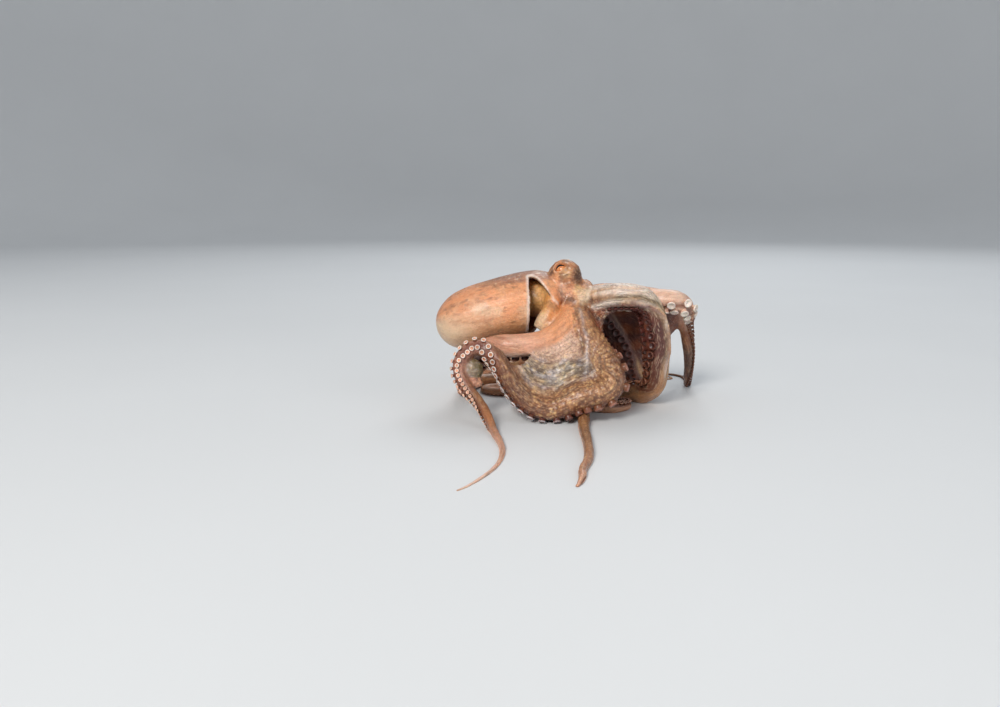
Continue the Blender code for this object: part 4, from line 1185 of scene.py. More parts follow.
# Patches on the head: tone, middle, radius and strength.
HEAD_PATCHES = (
    ("umber", (-12.5, -8, 107), 5.0, 0.95),
    ("umber", (8.5, -6, 104), 7.5, 0.95),
    # A milk-white painted highlight on the top of the head.
    ("milk", (-0.6, -5, 117), 4.5, 0.8),
    ("gold", (0.4, -13, 108), 5.0, 0.5),
    ("salmon", (-9.4, -11, 102), 5.5, 0.7),
    ("gold", (9.5, -9, 93), 5.0, 0.85),
    ("rose", (-7.3, -12, 96), 6.0, 0.7),
    ("rose", (1.0, -14, 93), 6.0, 0.6),
    ("wine", (2.3, -15, 84.5), 5.5, 0.85),
    ("umber", (-5.5, -12, 88.5), 5.0, 0.85),
    ("umber", (-10, 30, 90), 6.0, 0.8),
    ("gold", (4, 34, 88), 5.0, 0.6),
    ("cream", (14, -13, 88), 7.5, 0.8),
    ("olive", (11, -15, 79.5), 5.5, 0.8),
)


def neck_share(flesh):
    """How much each point belongs to the neck, within the mantle."""
    return smoothstep(-6, -13, flesh.points[:, 0]) * smoothstep(0.5, -2.0, flesh.mantle_gap)


def head_colours(flesh):
    """Salmon and tan, mottled with brown, with pale dots on the warts and patches of their own, one of them
    a painted highlight on the top; smooth gold and amber where the neck enters the mantle, brightened as
    painted light in the mantle's shade and turning sienna lower down; and wine red under the crown as
    painted shade."""
    p = flesh.points
    colours = blend_tones(TONES["sienna"], TONES["salmon"], smoothstep(-0.5, 0.4, fractal(p, 8.0, 2, 91)))
    moved = p + 2.5 * np.stack([noise(p, 6.0, seed) for seed in (95, 96, 97)], 1)
    for name, middle, radius, strength in HEAD_PATCHES:
        near = bell(np.linalg.norm(moved - np.array(middle), axis=1), 0, radius)
        colours = toned(colours, name, strength * smoothstep(0.15, 0.75, near))
    colours = toned(colours, "umber", 0.6 * smoothstep(0.1, 0.5, fractal(p, 5.0, 3, 93)))
    warts, number = pebbles(p, WART_SIZE, WART_SEED)
    colours = toned(colours, "shell", 0.8 * smoothstep(0.45, 0.75, warts) * (number > 0.45))
    # Wine red where the skin under the crown faces down towards the mouth: painted shade.
    below = smoothstep(2, -6, (p - CROWN) @ CROWN_TOP - 8)
    colours = toned(colours, "wine", smoothstep(0.2, 0.7, flesh.normals @ MOUTH_AXIS) * below)
    # Where the neck enters the mantle: gold and amber, brightened as painted light in the mantle's shade,
    # turning sienna lower down.
    painted_light_gold = 0.4 * TONES["gold"] + 0.6 * TONES["amber"]
    inside = blend_tones(painted_light_gold, TONES["sienna"], smoothstep(82, 66, p[:, 2]))
    return blend_tones(colours, inside, neck_share(flesh))


def mantle_colours(flesh):
    """Salmon above, and cream towards the tip and in clouds along the sides as a painted highlight, partly
    the skin's own pale patches; tan to brown below as painted shade, partly the skin's own tan; a brown
    band with pale specks along the top, and fine streaks lengthwise; a cream line on the rim, and amber to
    ochre inside, brightened as painted light in the shaded cavity and browner at its bottom as painted
    shade."""
    p, rise, t = flesh.points, flesh.mantle_rise, flesh.mantle_t
    mottle = streaks_on(flesh.mantle_lay, 2.5, 7.0, 3, 101)
    # Tan lower down and salmon higher up: the tan is partly painted shade on the underside.
    colours = blend_tones(TONES["tan"], TONES["salmon"], smoothstep(-0.5, 0.05, rise + 0.25 * mottle))
    # Sienna on the underside towards the front: painted shade.
    painted_underside_shade = smoothstep(-0.25, -0.75, rise + 0.2 * mottle) * (1 - smoothstep(50, 85, t))
    colours = toned(colours, "sienna", 0.8 * painted_underside_shade)
    # Cream towards the tip and in clouds along the sides: painted highlight, partly the skin's own pale
    # patches.
    pale = smoothstep(30, 95, t + 12 * mottle) * (1 - smoothstep(-0.1, 0.6, rise + 0.3 * mottle))
    clouds = smoothstep(0.0, 0.5, fractal(p, 11.0, 3, 109))
    pale = np.maximum(pale, 0.7 * clouds * bell(rise, 0.15, 0.5))
    colours = toned(colours, "cream", 0.75 * pale)
    top = smoothstep(0.74, 0.9, rise + 0.2 * mottle) * (1 - smoothstep(40, 66, t + 8 * mottle))
    band = blend_tones(TONES["brown"], TONES["mauve"], 0.4 + 0.7 * mottle)
    colours = blend_tones(colours, band, 0.85 * top)
    streaks = smoothstep(0.05, 0.45, streaks_on(flesh.mantle_lay, 8.0, 2.4, 3, 103))
    colours = toned(colours, "sienna", 0.4 * streaks * smoothstep(-0.6, 0.2, rise))
    spots, number = pebbles(p, SPOT_SIZE, SPOT_SEED)
    spots = smoothstep(0.6, 0.85, spots) * (number > 0.5)
    colours = toned(colours, "cream", 0.8 * spots * (0.25 + 0.75 * top))
    dots = smoothstep(0.2, 0.5, fractal(p, 3.0, 2, 107))
    colours = toned(colours, "umber", 0.5 * dots * (1 - pale).clip(0))
    # Inside the cavity: gold to ochre brightened as painted light where the cavity lies in shade, and brown
    # towards its bottom as painted shade.
    inside = blend_tones(TONES["gold"], TONES["ochre"], smoothstep(-2, 16, flesh.rim_gap))
    inside = toned(inside, "brown", 0.8 * smoothstep(0.1, -0.7, rise))
    colours = np.where(flesh.pocket[:, None], inside, colours)
    return toned(colours, "milk", 0.9 * (1 - smoothstep(0.5, 2.0, np.abs(flesh.rim_gap + 0.2))))


def funnel_colours(flesh):
    """Gold at the collar turning amber, deep honey on the right as painted shade, and cream at the mouth
    on the left as a painted highlight.
    """
    share = flesh.funnel_share
    colours = blend_tones(TONES["gold"], TONES["amber"], smoothstep(0.05, 0.4, share))
    # Deep honey where the skin faces right, away from the key light: painted shade.
    right = smoothstep(-0.75, 0.1, flesh.normals @ unit(RIGHT + 0.2 * DOWN))
    colours = toned(colours, "honey", 0.95 * right)
    # Cream near the mouth where the skin faces left and towards the viewer: painted highlight.
    cream = smoothstep(0.35, 0.95, flesh.normals @ unit(LEFT + 0.6 * NEAR)) * smoothstep(0.5, 0.8, share)
    colours = toned(colours, "cream", 0.95 * cream)
    return colours * (1 + 0.12 * fractal(flesh.points, 7.0, 2, 111))[:, None]


def knuckle_colours(flesh):
    """The bent flesh in the ring of an arm: a grey ball with pale specks, and rose below it."""
    p = flesh.points
    specks, number = pebbles(p, 2.6, 121)
    ball = blend_tones(TONES["moss"], TONES["stone"], smoothstep(-0.4, 0.4, fractal(p, 5.0, 2, 123)))
    ball = toned(ball, "pearl", 0.6 * smoothstep(0.5, 0.8, specks) * (number > 0.4))
    below = blend_tones(TONES["rose"], TONES["maroon"], smoothstep(0.0, 0.5, fractal(p, 3.0, 2, 125)))
    lower = smoothstep(-0.6, 0.6, np.abs(flesh.knuckle_gaps[0]) - np.abs(flesh.knuckle_gaps[1]))
    return blend_tones(ball, below, lower)


def skin_colours(flesh):
    """The six regions' colours, each as strong as the point belongs to the region, and over them the pale
    fold with painted shade in its furrow, and painted shade in the troughs of the fan of wrinkles."""
    regions = (
        (flesh.arms, arm_colours), (flesh.webs, web_colours), (flesh.head, head_colours),
        (flesh.mantle, mantle_colours), (flesh.funnel, funnel_colours), (flesh.knuckles, knuckle_colours),
    )
    total = sum(weight[:, None] * colours(flesh) for weight, colours in regions)
    # Umber in the furrow beside the pale fold: painted shade.
    total = toned(total, "umber", 0.7 * flesh.fold * bell(flesh.fold_gap, FURROW_PLACE, 1.6))
    total = toned(total, "pearl", 0.65 * flesh.fold * bell(flesh.fold_gap, 0, 1.3))
    # Brown in the troughs of the fan of wrinkles: painted shade.
    total = toned(total, "brown", 0.55 * flesh.fan * smoothstep(0.1, -0.9, np.cos(flesh.fan_phase)))
    return np.clip(total, 0, 1)


# ================================ the lids and the finished skin ================================
def eye_axes(name):
    """The eye's middle, the way it looks, and the ways along and across its opening."""
    mound, way = EYES[name]
    look = unit(way)
    level = unit(np.cross(look, UP)) * (1 if look @ NEAR > 0 else -1)
    level = level * np.sign(level[0])
    upward = unit(UP - (UP @ look) * look)
    along = level * math.cos(EYE_TURN) + upward * math.sin(EYE_TURN)
    above = upward * math.cos(EYE_TURN) - level * math.sin(EYE_TURN)
    return mound + EYE_SET * look, look, along, above


def far_from_eyes(points):
    """How far points lie from the middle of the nearest eye."""
    return np.min([np.linalg.norm(points - eye_axes(name)[0], axis=1) for name in EYES], axis=0)


def add_lids(points):
    """Opens the skin over each eye and raises two lids round the opening: inside the opening's ellipse
    the skin sinks behind the globe, and round it a bell-shaped ridge stands up."""
    moved = points.copy()
    for name in EYES:
        centre, look, along, above = eye_axes(name)
        offset = moved - centre
        a, b, h = offset @ along, offset @ above, offset @ look
        ring = np.sqrt((a / LID_WIDE) ** 2 + (b / LID_HIGH) ** 2)
        reach = np.hypot(a, b)
        near = (h > -3) & (reach < LID_REACH)
        globe = np.sqrt(np.maximum(EYE_RADIUS**2 - reach**2, 0))
        sunk = np.minimum(h, globe - BEHIND_GLOBE)
        ridge = LID_RIDGE[0] * bell(ring, *LID_RIDGE[1:]) - LID_FURROW[0] * bell(ring, *LID_FURROW[1:])
        open_share = 1 - smoothstep(0.9, 1.08, ring)
        height = np.where(near, sunk * open_share + (h + ridge) * (1 - open_share), h)
        moved = moved + (height - h)[:, None] * look
    return moved


def refine_round_eyes(mesh):
    """Divides the skin's faces round each eye in four, twice, so that the lids are crisp."""
    for reach in EYE_ROUNDS:
        close = far_from_eyes(read_points(mesh)) < reach
        chosen = np.flatnonzero(close[read_edges(mesh)].all(1))
        work = bmesh.new()
        work.from_mesh(mesh)
        work.edges.ensure_lookup_table()
        near = [work.edges[int(index)] for index in chosen]
        bmesh.ops.subdivide_edges(work, edges=near, cuts=1, use_grid_fill=True)
        bmesh.ops.triangulate(work, faces=work.faces)
        work.to_mesh(mesh)
        work.free()


def thinned(mesh, most):
    """The mesh with its flattest edges collapsed until it has at most so many triangles."""
    mesh.calc_loop_triangles()
    count = len(mesh.loop_triangles)
    if count <= most:
        return mesh
    lighter = changed_by(mesh, "DECIMATE", ratio=most / count)
    lighter.shade_smooth()
    return lighter


def within_box(points):
    """Points held inside the solids' box, by BOX_MARGIN on every side but the floor's."""
    low, high = CAD_LOW - ORIGIN, CAD_HIGH - ORIGIN
    return np.clip(points, low + BOX_MARGIN * (low < -1), high - BOX_MARGIN)


def make_skin(material):
    """The whole skin: fused, opened at the eyes, folded, thinned and coloured."""
    mesh = fused_skin()
    refine_round_eyes(mesh)
    points, normals = read_points(mesh), read_normals(mesh)
    height = spread(relief(Flesh(points, normals)), read_edges(mesh), 1, keep=0.7)
    calm = 1 - 0.9 * bell(far_from_eyes(points), 0, CALM_ROUND_EYE)
    moved = add_lids(points + normals * (height * calm)[:, None])
    write_points(mesh, within_box(moved))
    mesh = thinned(mesh, SKIN_TRIANGLES)
    flesh = Flesh(read_points(mesh), read_normals(mesh))
    set_colour(mesh, "tint", skin_colours(flesh))
    outer, inner = flesh.webs * (1 - flesh.web_inner), flesh.webs * flesh.web_inner
    set_number(mesh, "fleck", (
        flesh.arms * flesh.along_arms(ARM_GRAINS, others=0.35) + outer * PEBBLED["webs"]
        + flesh.head * PEBBLED["head"] + flesh.mantle * PEBBLED["mantle"]
        + flesh.knuckles * PEBBLED["knuckles"]))
    set_vector(mesh, "lay", flesh.lay)
    set_number(mesh, "crinkle", flesh.sure * (
        flesh.arms * flesh.along_arms(ARM_FOLDS, others=0.35) + outer * CRINKLED["webs"]
        + inner * CRINKLED["inner webs"] + flesh.head * CRINKLED["head"] * (1 - neck_share(flesh))
        + flesh.mantle * CRINKLED["mantle"] * ~flesh.pocket + flesh.knuckles * CRINKLED["knuckles"]))
    replaced = [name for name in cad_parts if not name.startswith("eye_")]
    return add_piece("skin", mesh, material, "skin", *replaced)


# ================================ suckers ================================
SUCKER_SHARE, SUCKER_LEAST = 0.68, 0.5       # diameter: a share of the arm's radius, plus so much
SUCKER_SPACING = 1.16                        # from sucker to sucker along a row, in diameters
SUCKER_SIDE, SUCKER_SPLAY = 0.55, 0.42       # how far off the groove, and how far they lean outwards
SUCKER_HEIGHT, KNOB_SUNK = 0.88, 0.07        # how far off the arm's middle, and how much less for knobs
SUCKER_START, SUCKER_END = 14.0, 0.985       # from the root to the first one; the last one's share
SUCKER_GROWTH = (-20, 30)                    # between these lengths from the root they grow to full size
BOWL_DEPTH = 0.05                            # how deep a bowl's last point lies, in half diameters
OFF_FLOOR = 0.1                              # how far every cup is kept above the floor
# The cup in section, from its stalk over the lip into the bowl: distance from its axis and height.
SUCKER_PROFILE = np.array((
    (0.74, -0.5), (0.66, 0.12), (0.84, 0.42), (1.0, 0.68),
    (0.95, 0.86), (0.78, 0.88), (0.56, 0.66), (0.26, 0.5),
))
# The same for a cup drawn in to a knob.
KNOB_PROFILE = np.array((
    (1.0, -0.5), (1.05, 0.1), (1.0, 0.45), (0.86, 0.72),
    (0.66, 0.88), (0.46, 0.92), (0.3, 0.84), (0.16, 0.8),
))
SUCKER_AROUND = 10
STALK_ROWS, LIP_ROWS, BOWL_ROWS = 3, 3, 2    # points of the section with each one's tone

# Maroon lips near the root of arm_right_2 and arm_left_1, which lie in the hollow under the arch: painted
# shade.
SUCKER_LIPS = {
    "arm_right_1": ((0.0, "rose"), (0.2, "milk"), (0.335, "milk"), (0.36, "brown"), (1.0, "brown")),
    "arm_right_2": ((0.0, "maroon"), (0.22, "maroon"), (0.34, "brown"), (0.5, "rose"), (1.0, "shell")),
    "arm_right_3": ((0.0, "rust"), (0.12, "mauve"), (0.22, "mauve"), (0.28, "maroon"), (0.34, "pearl"),
                    (0.52, "milk"), (0.58, "shell"), (1.0, "shell")),
    "arm_left_1": ((0.0, "maroon"), (0.3, "maroon"), (0.5, "rose"), (1.0, "shell")),
}
OTHER_LIPS = ((0.0, "maroon"), (0.2, "brown"), (0.4, "rose"), (1.0, "shell"))
SUCKER_BOWLS = {
    "arm_right_1": ((0.0, "maroon"), (0.22, "milk"), (0.335, "milk"), (0.36, "umber"), (1.0, "umber")),
    "arm_right_3": ((0.0, "maroon"), (0.14, "brown"), (0.22, "brown"), (0.28, "wine"), (0.45, "sienna"),
                    (0.5, "rose"), (1.0, "shell")),
}
# Wine-red bowls near the root: painted shade where they lie in the hollow under the arch, on arm_right_2
# and arm_left_1.
OTHER_BOWLS = ((0.0, "wine"), (0.3, "wine"), (0.5, "maroon"), (1.0, "brown"))
# How large an arm's suckers are against the usual size, along it.
SUCKER_SIZES = {
    "arm_right_1": ((0.0, 0.9), (0.24, 1.15), (0.3, 1.3), (0.34, 1.2), (0.38, 0.85), (1.0, 0.8)),
    "arm_right_2": ((0.0, 0.55), (0.16, 0.55), (0.24, 0.95), (1.0, 1.0)),
    "arm_right_3": ((0.0, 0.5), (0.13, 0.5), (0.16, 0.9), (0.3, 0.95), (0.44, 0.85), (0.56, 0.85),
                    (1.0, 1.0)),
}
OTHER_SIZES = ((0.0, 1.0),)
# How far an arm's suckers are drawn in to knobs, along it.
SUCKER_KNOBS = {"arm_right_3": ((0.0, 0.85), (0.26, 0.75), (0.33, 0.0), (1.0, 0.0))}
OTHER_KNOBS = ((0.0, 0.0),)


def sucker_diameter(name, share):
    """A share of the arm's radius and a little more, times the arm's own sizes."""
    arm = ARM_LINES[name]
    sizes = np.array(SUCKER_SIZES.get(name, OTHER_SIZES))
    return (SUCKER_SHARE * arm.at(share, arm.radius) + SUCKER_LEAST) * np.interp(share, *sizes.T)


def sucker_row(name, side):
    """Where one row's suckers sit: shares of the arm at which the sum of 1 / spacing passes whole
    numbers, and half-way between them in the other row."""
    length = ARM_LINES[name].length
    share = np.linspace(SUCKER_START / length, SUCKER_END, 4000)
    spacing = SUCKER_SPACING * sucker_diameter(name, share)[1:]
    passed = np.concatenate(([0.0], np.cumsum(np.diff(share) * length / spacing)))
    return np.interp(np.arange(int(passed[-1])) + 0.25 * (1 + side), passed, share)


def sucker_cups(name, share, side):
    """The rings of points of an arm's cups and the last point in each bowl: the section turned about
    each cup's axis, each cup pressed up so that none goes through the floor."""
    arm = ARM_LINES[name]
    radius, width = arm.at(share, arm.radius)[:, None], arm.at(share, arm.width)[:, None]
    facing, across, tangent = (arm.at(share, v) for v in (arm.facing, arm.across, arm.tangent))
    drawn = np.interp(share, *np.array(SUCKER_KNOBS.get(name, OTHER_KNOBS)).T)[:, None]
    depth = SUCKER_HEIGHT - KNOB_SUNK * drawn
    place = arm.at(share, arm.centre) + across * side * width * SUCKER_SIDE + facing * radius * depth
    axis = unit(facing + across * side * SUCKER_SPLAY)
    first = unit(np.cross(axis, tangent))
    second = np.cross(axis, first)
    size = sucker_diameter(name, share) / 2 * smoothstep(*SUCKER_GROWTH, share * arm.length)
    size = size[:, None]
    turn = 2 * np.pi * np.arange(SUCKER_AROUND) / SUCKER_AROUND
    profiles = SUCKER_PROFILE * (1 - drawn[..., None]) + KNOB_PROFILE * drawn[..., None]
    out, height = np.moveaxis(profiles, -1, 0)[..., None, None]
    ring = first[:, None] * np.cos(turn)[:, None] + second[:, None] * np.sin(turn)[:, None]
    from_axis = ring[:, None] * out + axis[:, None, None] * height
    cups = place[:, None, None] + size[..., None, None] * from_axis
    lowest = cups[..., 2].min(axis=(1, 2))
    cups[..., 2] += np.maximum(OFF_FLOOR - lowest, 0)[:, None, None]
    return cups, cups[:, -1].mean(1) - axis * size * BOWL_DEPTH


def make_suckers(name, material):
    """Both rows of an arm's cups as one piece: quads round each cup, a fan to the last point in its
    bowl and one face under its stalk."""
    rows = {side: sucker_row(name, side) for side in (-1.0, 1.0)}
    share = np.concatenate(list(rows.values()))
    side = np.concatenate([np.full(len(row), side) for side, row in rows.items()])[:, None]
    cups, bottoms = sucker_cups(name, share, side)
    count, rings = cups.shape[:2]
    start = (np.arange(count) * rings * SUCKER_AROUND)[:, None, None]
    quads = (grid_faces(rings, SUCKER_AROUND)[None] + start).reshape(-1, 4)
    ring = np.arange(SUCKER_AROUND)
    inmost = (rings - 1) * SUCKER_AROUND + ring
    edges = np.stack((np.roll(inmost, -1), inmost), -1)[None] + start
    tips = count * rings * SUCKER_AROUND + np.arange(count)[:, None, None]
    fans = np.concatenate((edges, np.broadcast_to(tips, (count, SUCKER_AROUND, 1))), -1)
    stalks = (ring[None] + start[..., 0])[:, ::-1]
    piece = name.replace("arm", "suckers")
    points = within_box(np.vstack((cups.reshape(-1, 3), bottoms)))
    mesh = new_mesh(piece, points, [quads, fans.reshape(-1, 3)[:, ::-1], stalks])
    set_colour(mesh, "tint", sucker_colours(name, share))
    return add_piece(piece, mesh, material, "skin")


def sucker_colours(name, share):
    """Stalks in the sucker side's tone, lips pale and bowls dark, as each arm has them along it."""
    stalk = tones_along(ARM_ORAL.get(name, OTHER_ORAL), share)
    lip = tones_along(SUCKER_LIPS.get(name, OTHER_LIPS), share)
    bowl = tones_along(SUCKER_BOWLS.get(name, OTHER_BOWLS), share)
    by_row = np.stack([stalk] * STALK_ROWS + [lip] * LIP_ROWS + [bowl] * BOWL_ROWS, 1)
    return np.vstack((np.repeat(by_row.reshape(-1, 3), SUCKER_AROUND, axis=0), bowl))


# ================================ the globes of the eyes ================================
def make_eye(name, material, tall=64, around=96):
    """A globe whose points carry their place along and above the lids' opening, for the pupil."""
    centre, look, along, above = eye_axes(name)
    ways = globe_ways(tall, around)
    ways = ways[..., :1] * along + ways[..., 1:2] * above + ways[..., 2:] * look
    mesh = new_mesh("globe_" + name, *closed_tube(centre + GLOBE_RADIUS * ways))
    outwards(mesh)
    offset = read_points(mesh) - centre
    set_vector(mesh, "gaze", np.stack((offset @ along, offset @ above, offset @ look), 1))
    return add_piece("globe_" + name, mesh, material, "eye", name)


# ================================ materials ================================
def new_material(name):
    """A material, its node tree and its Principled shader."""
    made = bpy.data.materials.new(name)
    made.use_nodes = True
    tree = made.node_tree
    return made, tree, tree.nodes["Principled BSDF"]


def add_node(tree, kind, links=(), **settings):
    """A node with its settings; links are (input, what feeds it), where what feeds it is an output or a
    plain value."""
    node = tree.nodes.new(kind)
    for key, value in settings.items():
        setattr(node, key, value)
    for place, source in links:
        if isinstance(source, bpy.types.NodeSocket):
            tree.links.new(source, node.inputs[place])
        else:
            node.inputs[place].default_value = source
    return node


def carried(tree, name, output):
    """What a mesh's points carry under a name."""
    return add_node(tree, "ShaderNodeAttribute", attribute_name=name).outputs[output]


def noise_node(tree, place, **values):
    """A noise texture read at a place."""
    links = (("Vector", place), *values.items())
    return add_node(tree, "ShaderNodeTexNoise", links).outputs["Fac"]


def maths(tree, operation, first, second=0.0, third=0.0):
    """The result of a Math node."""
    links = ((0, first), (1, second), (2, third))
    return add_node(tree, "ShaderNodeMath", links, operation=operation).outputs[0]


def product(tree, first, *others):
    """The product of two or more values."""
    for other in others:
        first = maths(tree, "MULTIPLY", first, other)
    return first


def distance(tree, first, second):
    """How far apart two values are."""
    return maths(tree, "ABSOLUTE", maths(tree, "SUBTRACT", first, second))


def ramp(tree, value, low, high, bottom=0.0, top=1.0):
    """A value eased from bottom at low to top at high."""
    links = (("Value", value), ("From Min", low), ("From Max", high), ("To Min", bottom), ("To Max", top))
    return add_node(tree, "ShaderNodeMapRange", links, interpolation_type="SMOOTHSTEP").outputs["Result"]


def mix_colours(tree, share, first, second, blend_type="MIX"):
    """first x (1 - share) + second x share, or with another kind of blend."""
    links = ((0, share), (6, first), (7, second))
    return add_node(tree, "ShaderNodeMix", links, data_type="RGBA", blend_type=blend_type).outputs[2]


def tone(name):
    """A named tone for a colour socket."""
    return (*(float(c) for c in TONES[name]), 1.0)


DOT_SIZE, SUCKER_DOT_SIZE = 0.0012, 0.0008      # metres


def flesh_detail_group():
    """Fine detail of wet flesh: dark dots of colour cells, grains that are pale in the middle with furrows
    between them that the skin darkens as painted shade, and a height of pores and fine creases. Sizes are
    in metres."""
    group = bpy.data.node_groups.new("flesh detail", "ShaderNodeTree")
    size = group.interface.new_socket("Dot Size", in_out="INPUT", socket_type="NodeSocketFloat")
    size.default_value = DOT_SIZE
    for name in ("Dots", "Flecks", "Furrows", "Cloud", "Height"):
        group.interface.new_socket(name, in_out="OUTPUT", socket_type="NodeSocketFloat")
    enter, leave = group.nodes.new("NodeGroupInput"), group.nodes.new("NodeGroupOutput")
    place = group.nodes.new("ShaderNodeTexCoord").outputs["Object"]
    frequency = maths(group, "DIVIDE", 1.0, enter.outputs["Dot Size"])
    dots = add_node(group, "ShaderNodeTexVoronoi",
                    (("Vector", place), ("Scale", frequency), ("Randomness", 0.9))).outputs["Distance"]
    cloud = noise_node(group, place, Scale=160.0, Detail=3.0)
    sparse = ramp(group, cloud, 0.42, 0.62)
    dark = product(group, ramp(group, dots, 0.16, 0.36, 1.0, 0.0), sparse)
    grains = add_node(group, "ShaderNodeTexVoronoi",
                      (("Vector", place), ("Scale", 480.0), ("Randomness", 1.0)))
    apart = grains.outputs["Distance"]
    own = add_node(group, "ShaderNodeSeparateColor", ((0, grains.outputs["Color"]),)).outputs[0]
    pale = product(group, ramp(group, apart, 0.12, 0.42, 1.0, 0.0), own)
    # Furrows between the grains, which the skin material darkens as painted shade.
    furrows = ramp(group, apart, 0.42, 0.7)
    creases = noise_node(group, place, Scale=700.0, Detail=4.0, Roughness=0.6, Distortion=0.6)
    height = maths(group, "ADD", product(group, apart, -1.2), creases)
    for name, value in (("Dots", dark), ("Flecks", pale), ("Furrows", furrows), ("Cloud", cloud),
                        ("Height", height)):
        group.links.new(value, leave.inputs[name])
    return group


def crinkle_nodes(tree):
    """Fine creases that run lengthwise: lines where noise, drawn from the place on the part and stretched
    along it, crosses its middle value, where the skin is darkened as painted shade; and ridges far from it,
    where it is lightened as a painted highlight."""
    lay = carried(tree, "lay", "Vector")
    drawn = add_node(tree, "ShaderNodeVectorMath", ((0, lay), (1, (0.22, 1.0, 1.0))), operation="MULTIPLY")
    waves = noise_node(tree, drawn.outputs[0], Scale=0.5, Detail=2.5, Roughness=0.6, Distortion=0.3)
    off = distance(tree, waves, 0.5)
    return ramp(tree, off, 0.0, 0.05, 1.0, 0.0), ramp(tree, off, 0.06, 0.16)


def skin_material(detail):
    """Wet mottled skin: the points' own tones, dark dots, pale grains with painted shade in the furrows
    between them where the skin is pebbled, painted shade in the creases and painted highlights on the
    ridges where it is crinkled, and their relief."""
    made, tree, shader = new_material("octopus skin")
    tint = carried(tree, "tint", "Color")
    fleck, crinkle = carried(tree, "fleck", "Fac"), carried(tree, "crinkle", "Fac")
    fine = add_node(tree, "ShaderNodeGroup", node_tree=detail)
    fine.inputs["Dot Size"].default_value = DOT_SIZE
    creases, ridges = crinkle_nodes(tree)
    crease_and_shade, ridge = product(tree, creases, crinkle), product(tree, ridges, crinkle)
    dark = mix_colours(tree, 1.0, tint, (0.34, 0.27, 0.24, 1), "MULTIPLY")
    colour = tint
    for share, other in (
            (product(tree, fine.outputs["Dots"], 0.4), dark),
            # Painted shade in the furrows between grains.
            (product(tree, fine.outputs["Furrows"], fleck, 0.6), dark),
            (product(tree, fine.outputs["Flecks"], fleck, 0.6), tone("gold")),
            # Painted shade in the creases.
            (product(tree, crease_and_shade, 0.65), dark),
            # Painted highlight on the ridges.
            (product(tree, ridge, 0.3), tone("cream"))):
        colour = mix_colours(tree, share, colour, other)
    tree.links.new(colour, shader.inputs["Base Color"])
    tree.links.new(ramp(tree, fine.outputs["Cloud"], 0.3, 0.7, 0.32, 0.5), shader.inputs["Roughness"])
    folds = product(tree, maths(tree, "SUBTRACT", ridge, crease_and_shade), 1.6)
    rise = maths(tree, "ADD", fine.outputs["Height"], folds)
    bump = add_node(tree, "ShaderNodeBump", (("Strength", 0.5), ("Distance", 0.0005), ("Height", rise)))
    tree.links.new(bump.outputs[0], shader.inputs["Normal"])
    shader.inputs["Subsurface Weight"].default_value = 0.15
    shader.inputs["Subsurface Radius"].default_value = (1.0, 0.35, 0.15)
    shader.inputs["Subsurface Scale"].default_value = 0.002
    shader.inputs["Coat Weight"].default_value = 0.25
    shader.inputs["Coat Roughness"].default_value = 0.22
    return made


def sucker_material(detail):
    """Smooth wet cups in their own tones."""
    made, tree, shader = new_material("octopus suckers")
    tint = carried(tree, "tint", "Color")
    fine = add_node(tree, "ShaderNodeGroup", node_tree=detail)
    fine.inputs["Dot Size"].default_value = SUCKER_DOT_SIZE
    colour = mix_colours(tree, product(tree, fine.outputs["Dots"], 0.35), tint, tone("umber"))
    clouds = ramp(tree, fine.outputs["Cloud"], 0.4, 0.65, 0.0, 0.3)
    tree.links.new(mix_colours(tree, clouds, colour, tone("umber")), shader.inputs["Base Color"])
    rise = fine.outputs["Height"]
    bump = add_node(tree, "ShaderNodeBump", (("Strength", 0.35), ("Distance", 0.0003), ("Height", rise)))
    tree.links.new(bump.outputs[0], shader.inputs["Normal"])
    shader.inputs["Roughness"].default_value = 0.36
    shader.inputs["Subsurface Weight"].default_value = 0.12
    shader.inputs["Subsurface Scale"].default_value = 0.002
    return made


# The pupil, from the opening's middle: a line at PUPIL_RISE - PUPIL_DROOP x along^2 above it, and
# PUPIL_HALF - PUPIL_TAPER x along^2 to each side of that line.
PUPIL_RISE, PUPIL_DROOP = 1.4, 0.13
PUPIL_HALF, PUPIL_TAPER = 1.25, 0.055
IRIS_DARK, IRIS_BRIGHT, PUPIL_BLACK = (0.6, 0.17, 0.05, 1), (0.74, 0.33, 0.12, 1), (0.006, 0.004, 0.004, 1)


def eye_material():
    """Copper iris with a black crescent pupil: an arch whose ends droop, thickest at its middle."""
    made, tree, shader = new_material("octopus eye")
    gaze = add_node(tree, "ShaderNodeSeparateXYZ", ((0, carried(tree, "gaze", "Vector")),))
    along, above = gaze.outputs[0], gaze.outputs[1]
    squared = product(tree, along, along)
    middle = maths(tree, "MULTIPLY_ADD", squared, -PUPIL_DROOP, PUPIL_RISE)
    half = maths(tree, "MULTIPLY_ADD", squared, -PUPIL_TAPER, PUPIL_HALF)
    inside = maths(tree, "SUBTRACT", half, distance(tree, above, middle))
    pupil = ramp(tree, inside, -0.08, 0.12)
    place = add_node(tree, "ShaderNodeTexCoord").outputs["Object"]
    grain = ramp(tree, noise_node(tree, place, Scale=900.0, Detail=3.0), 0.35, 0.7)
    iris = mix_colours(tree, grain, IRIS_DARK, IRIS_BRIGHT)
    tree.links.new(mix_colours(tree, pupil, iris, PUPIL_BLACK), shader.inputs["Base Color"])
    shader.inputs["Roughness"].default_value = 0.25
    shader.inputs["Coat Weight"].default_value = 0.35
    shader.inputs["Coat Roughness"].default_value = 0.05
    return made


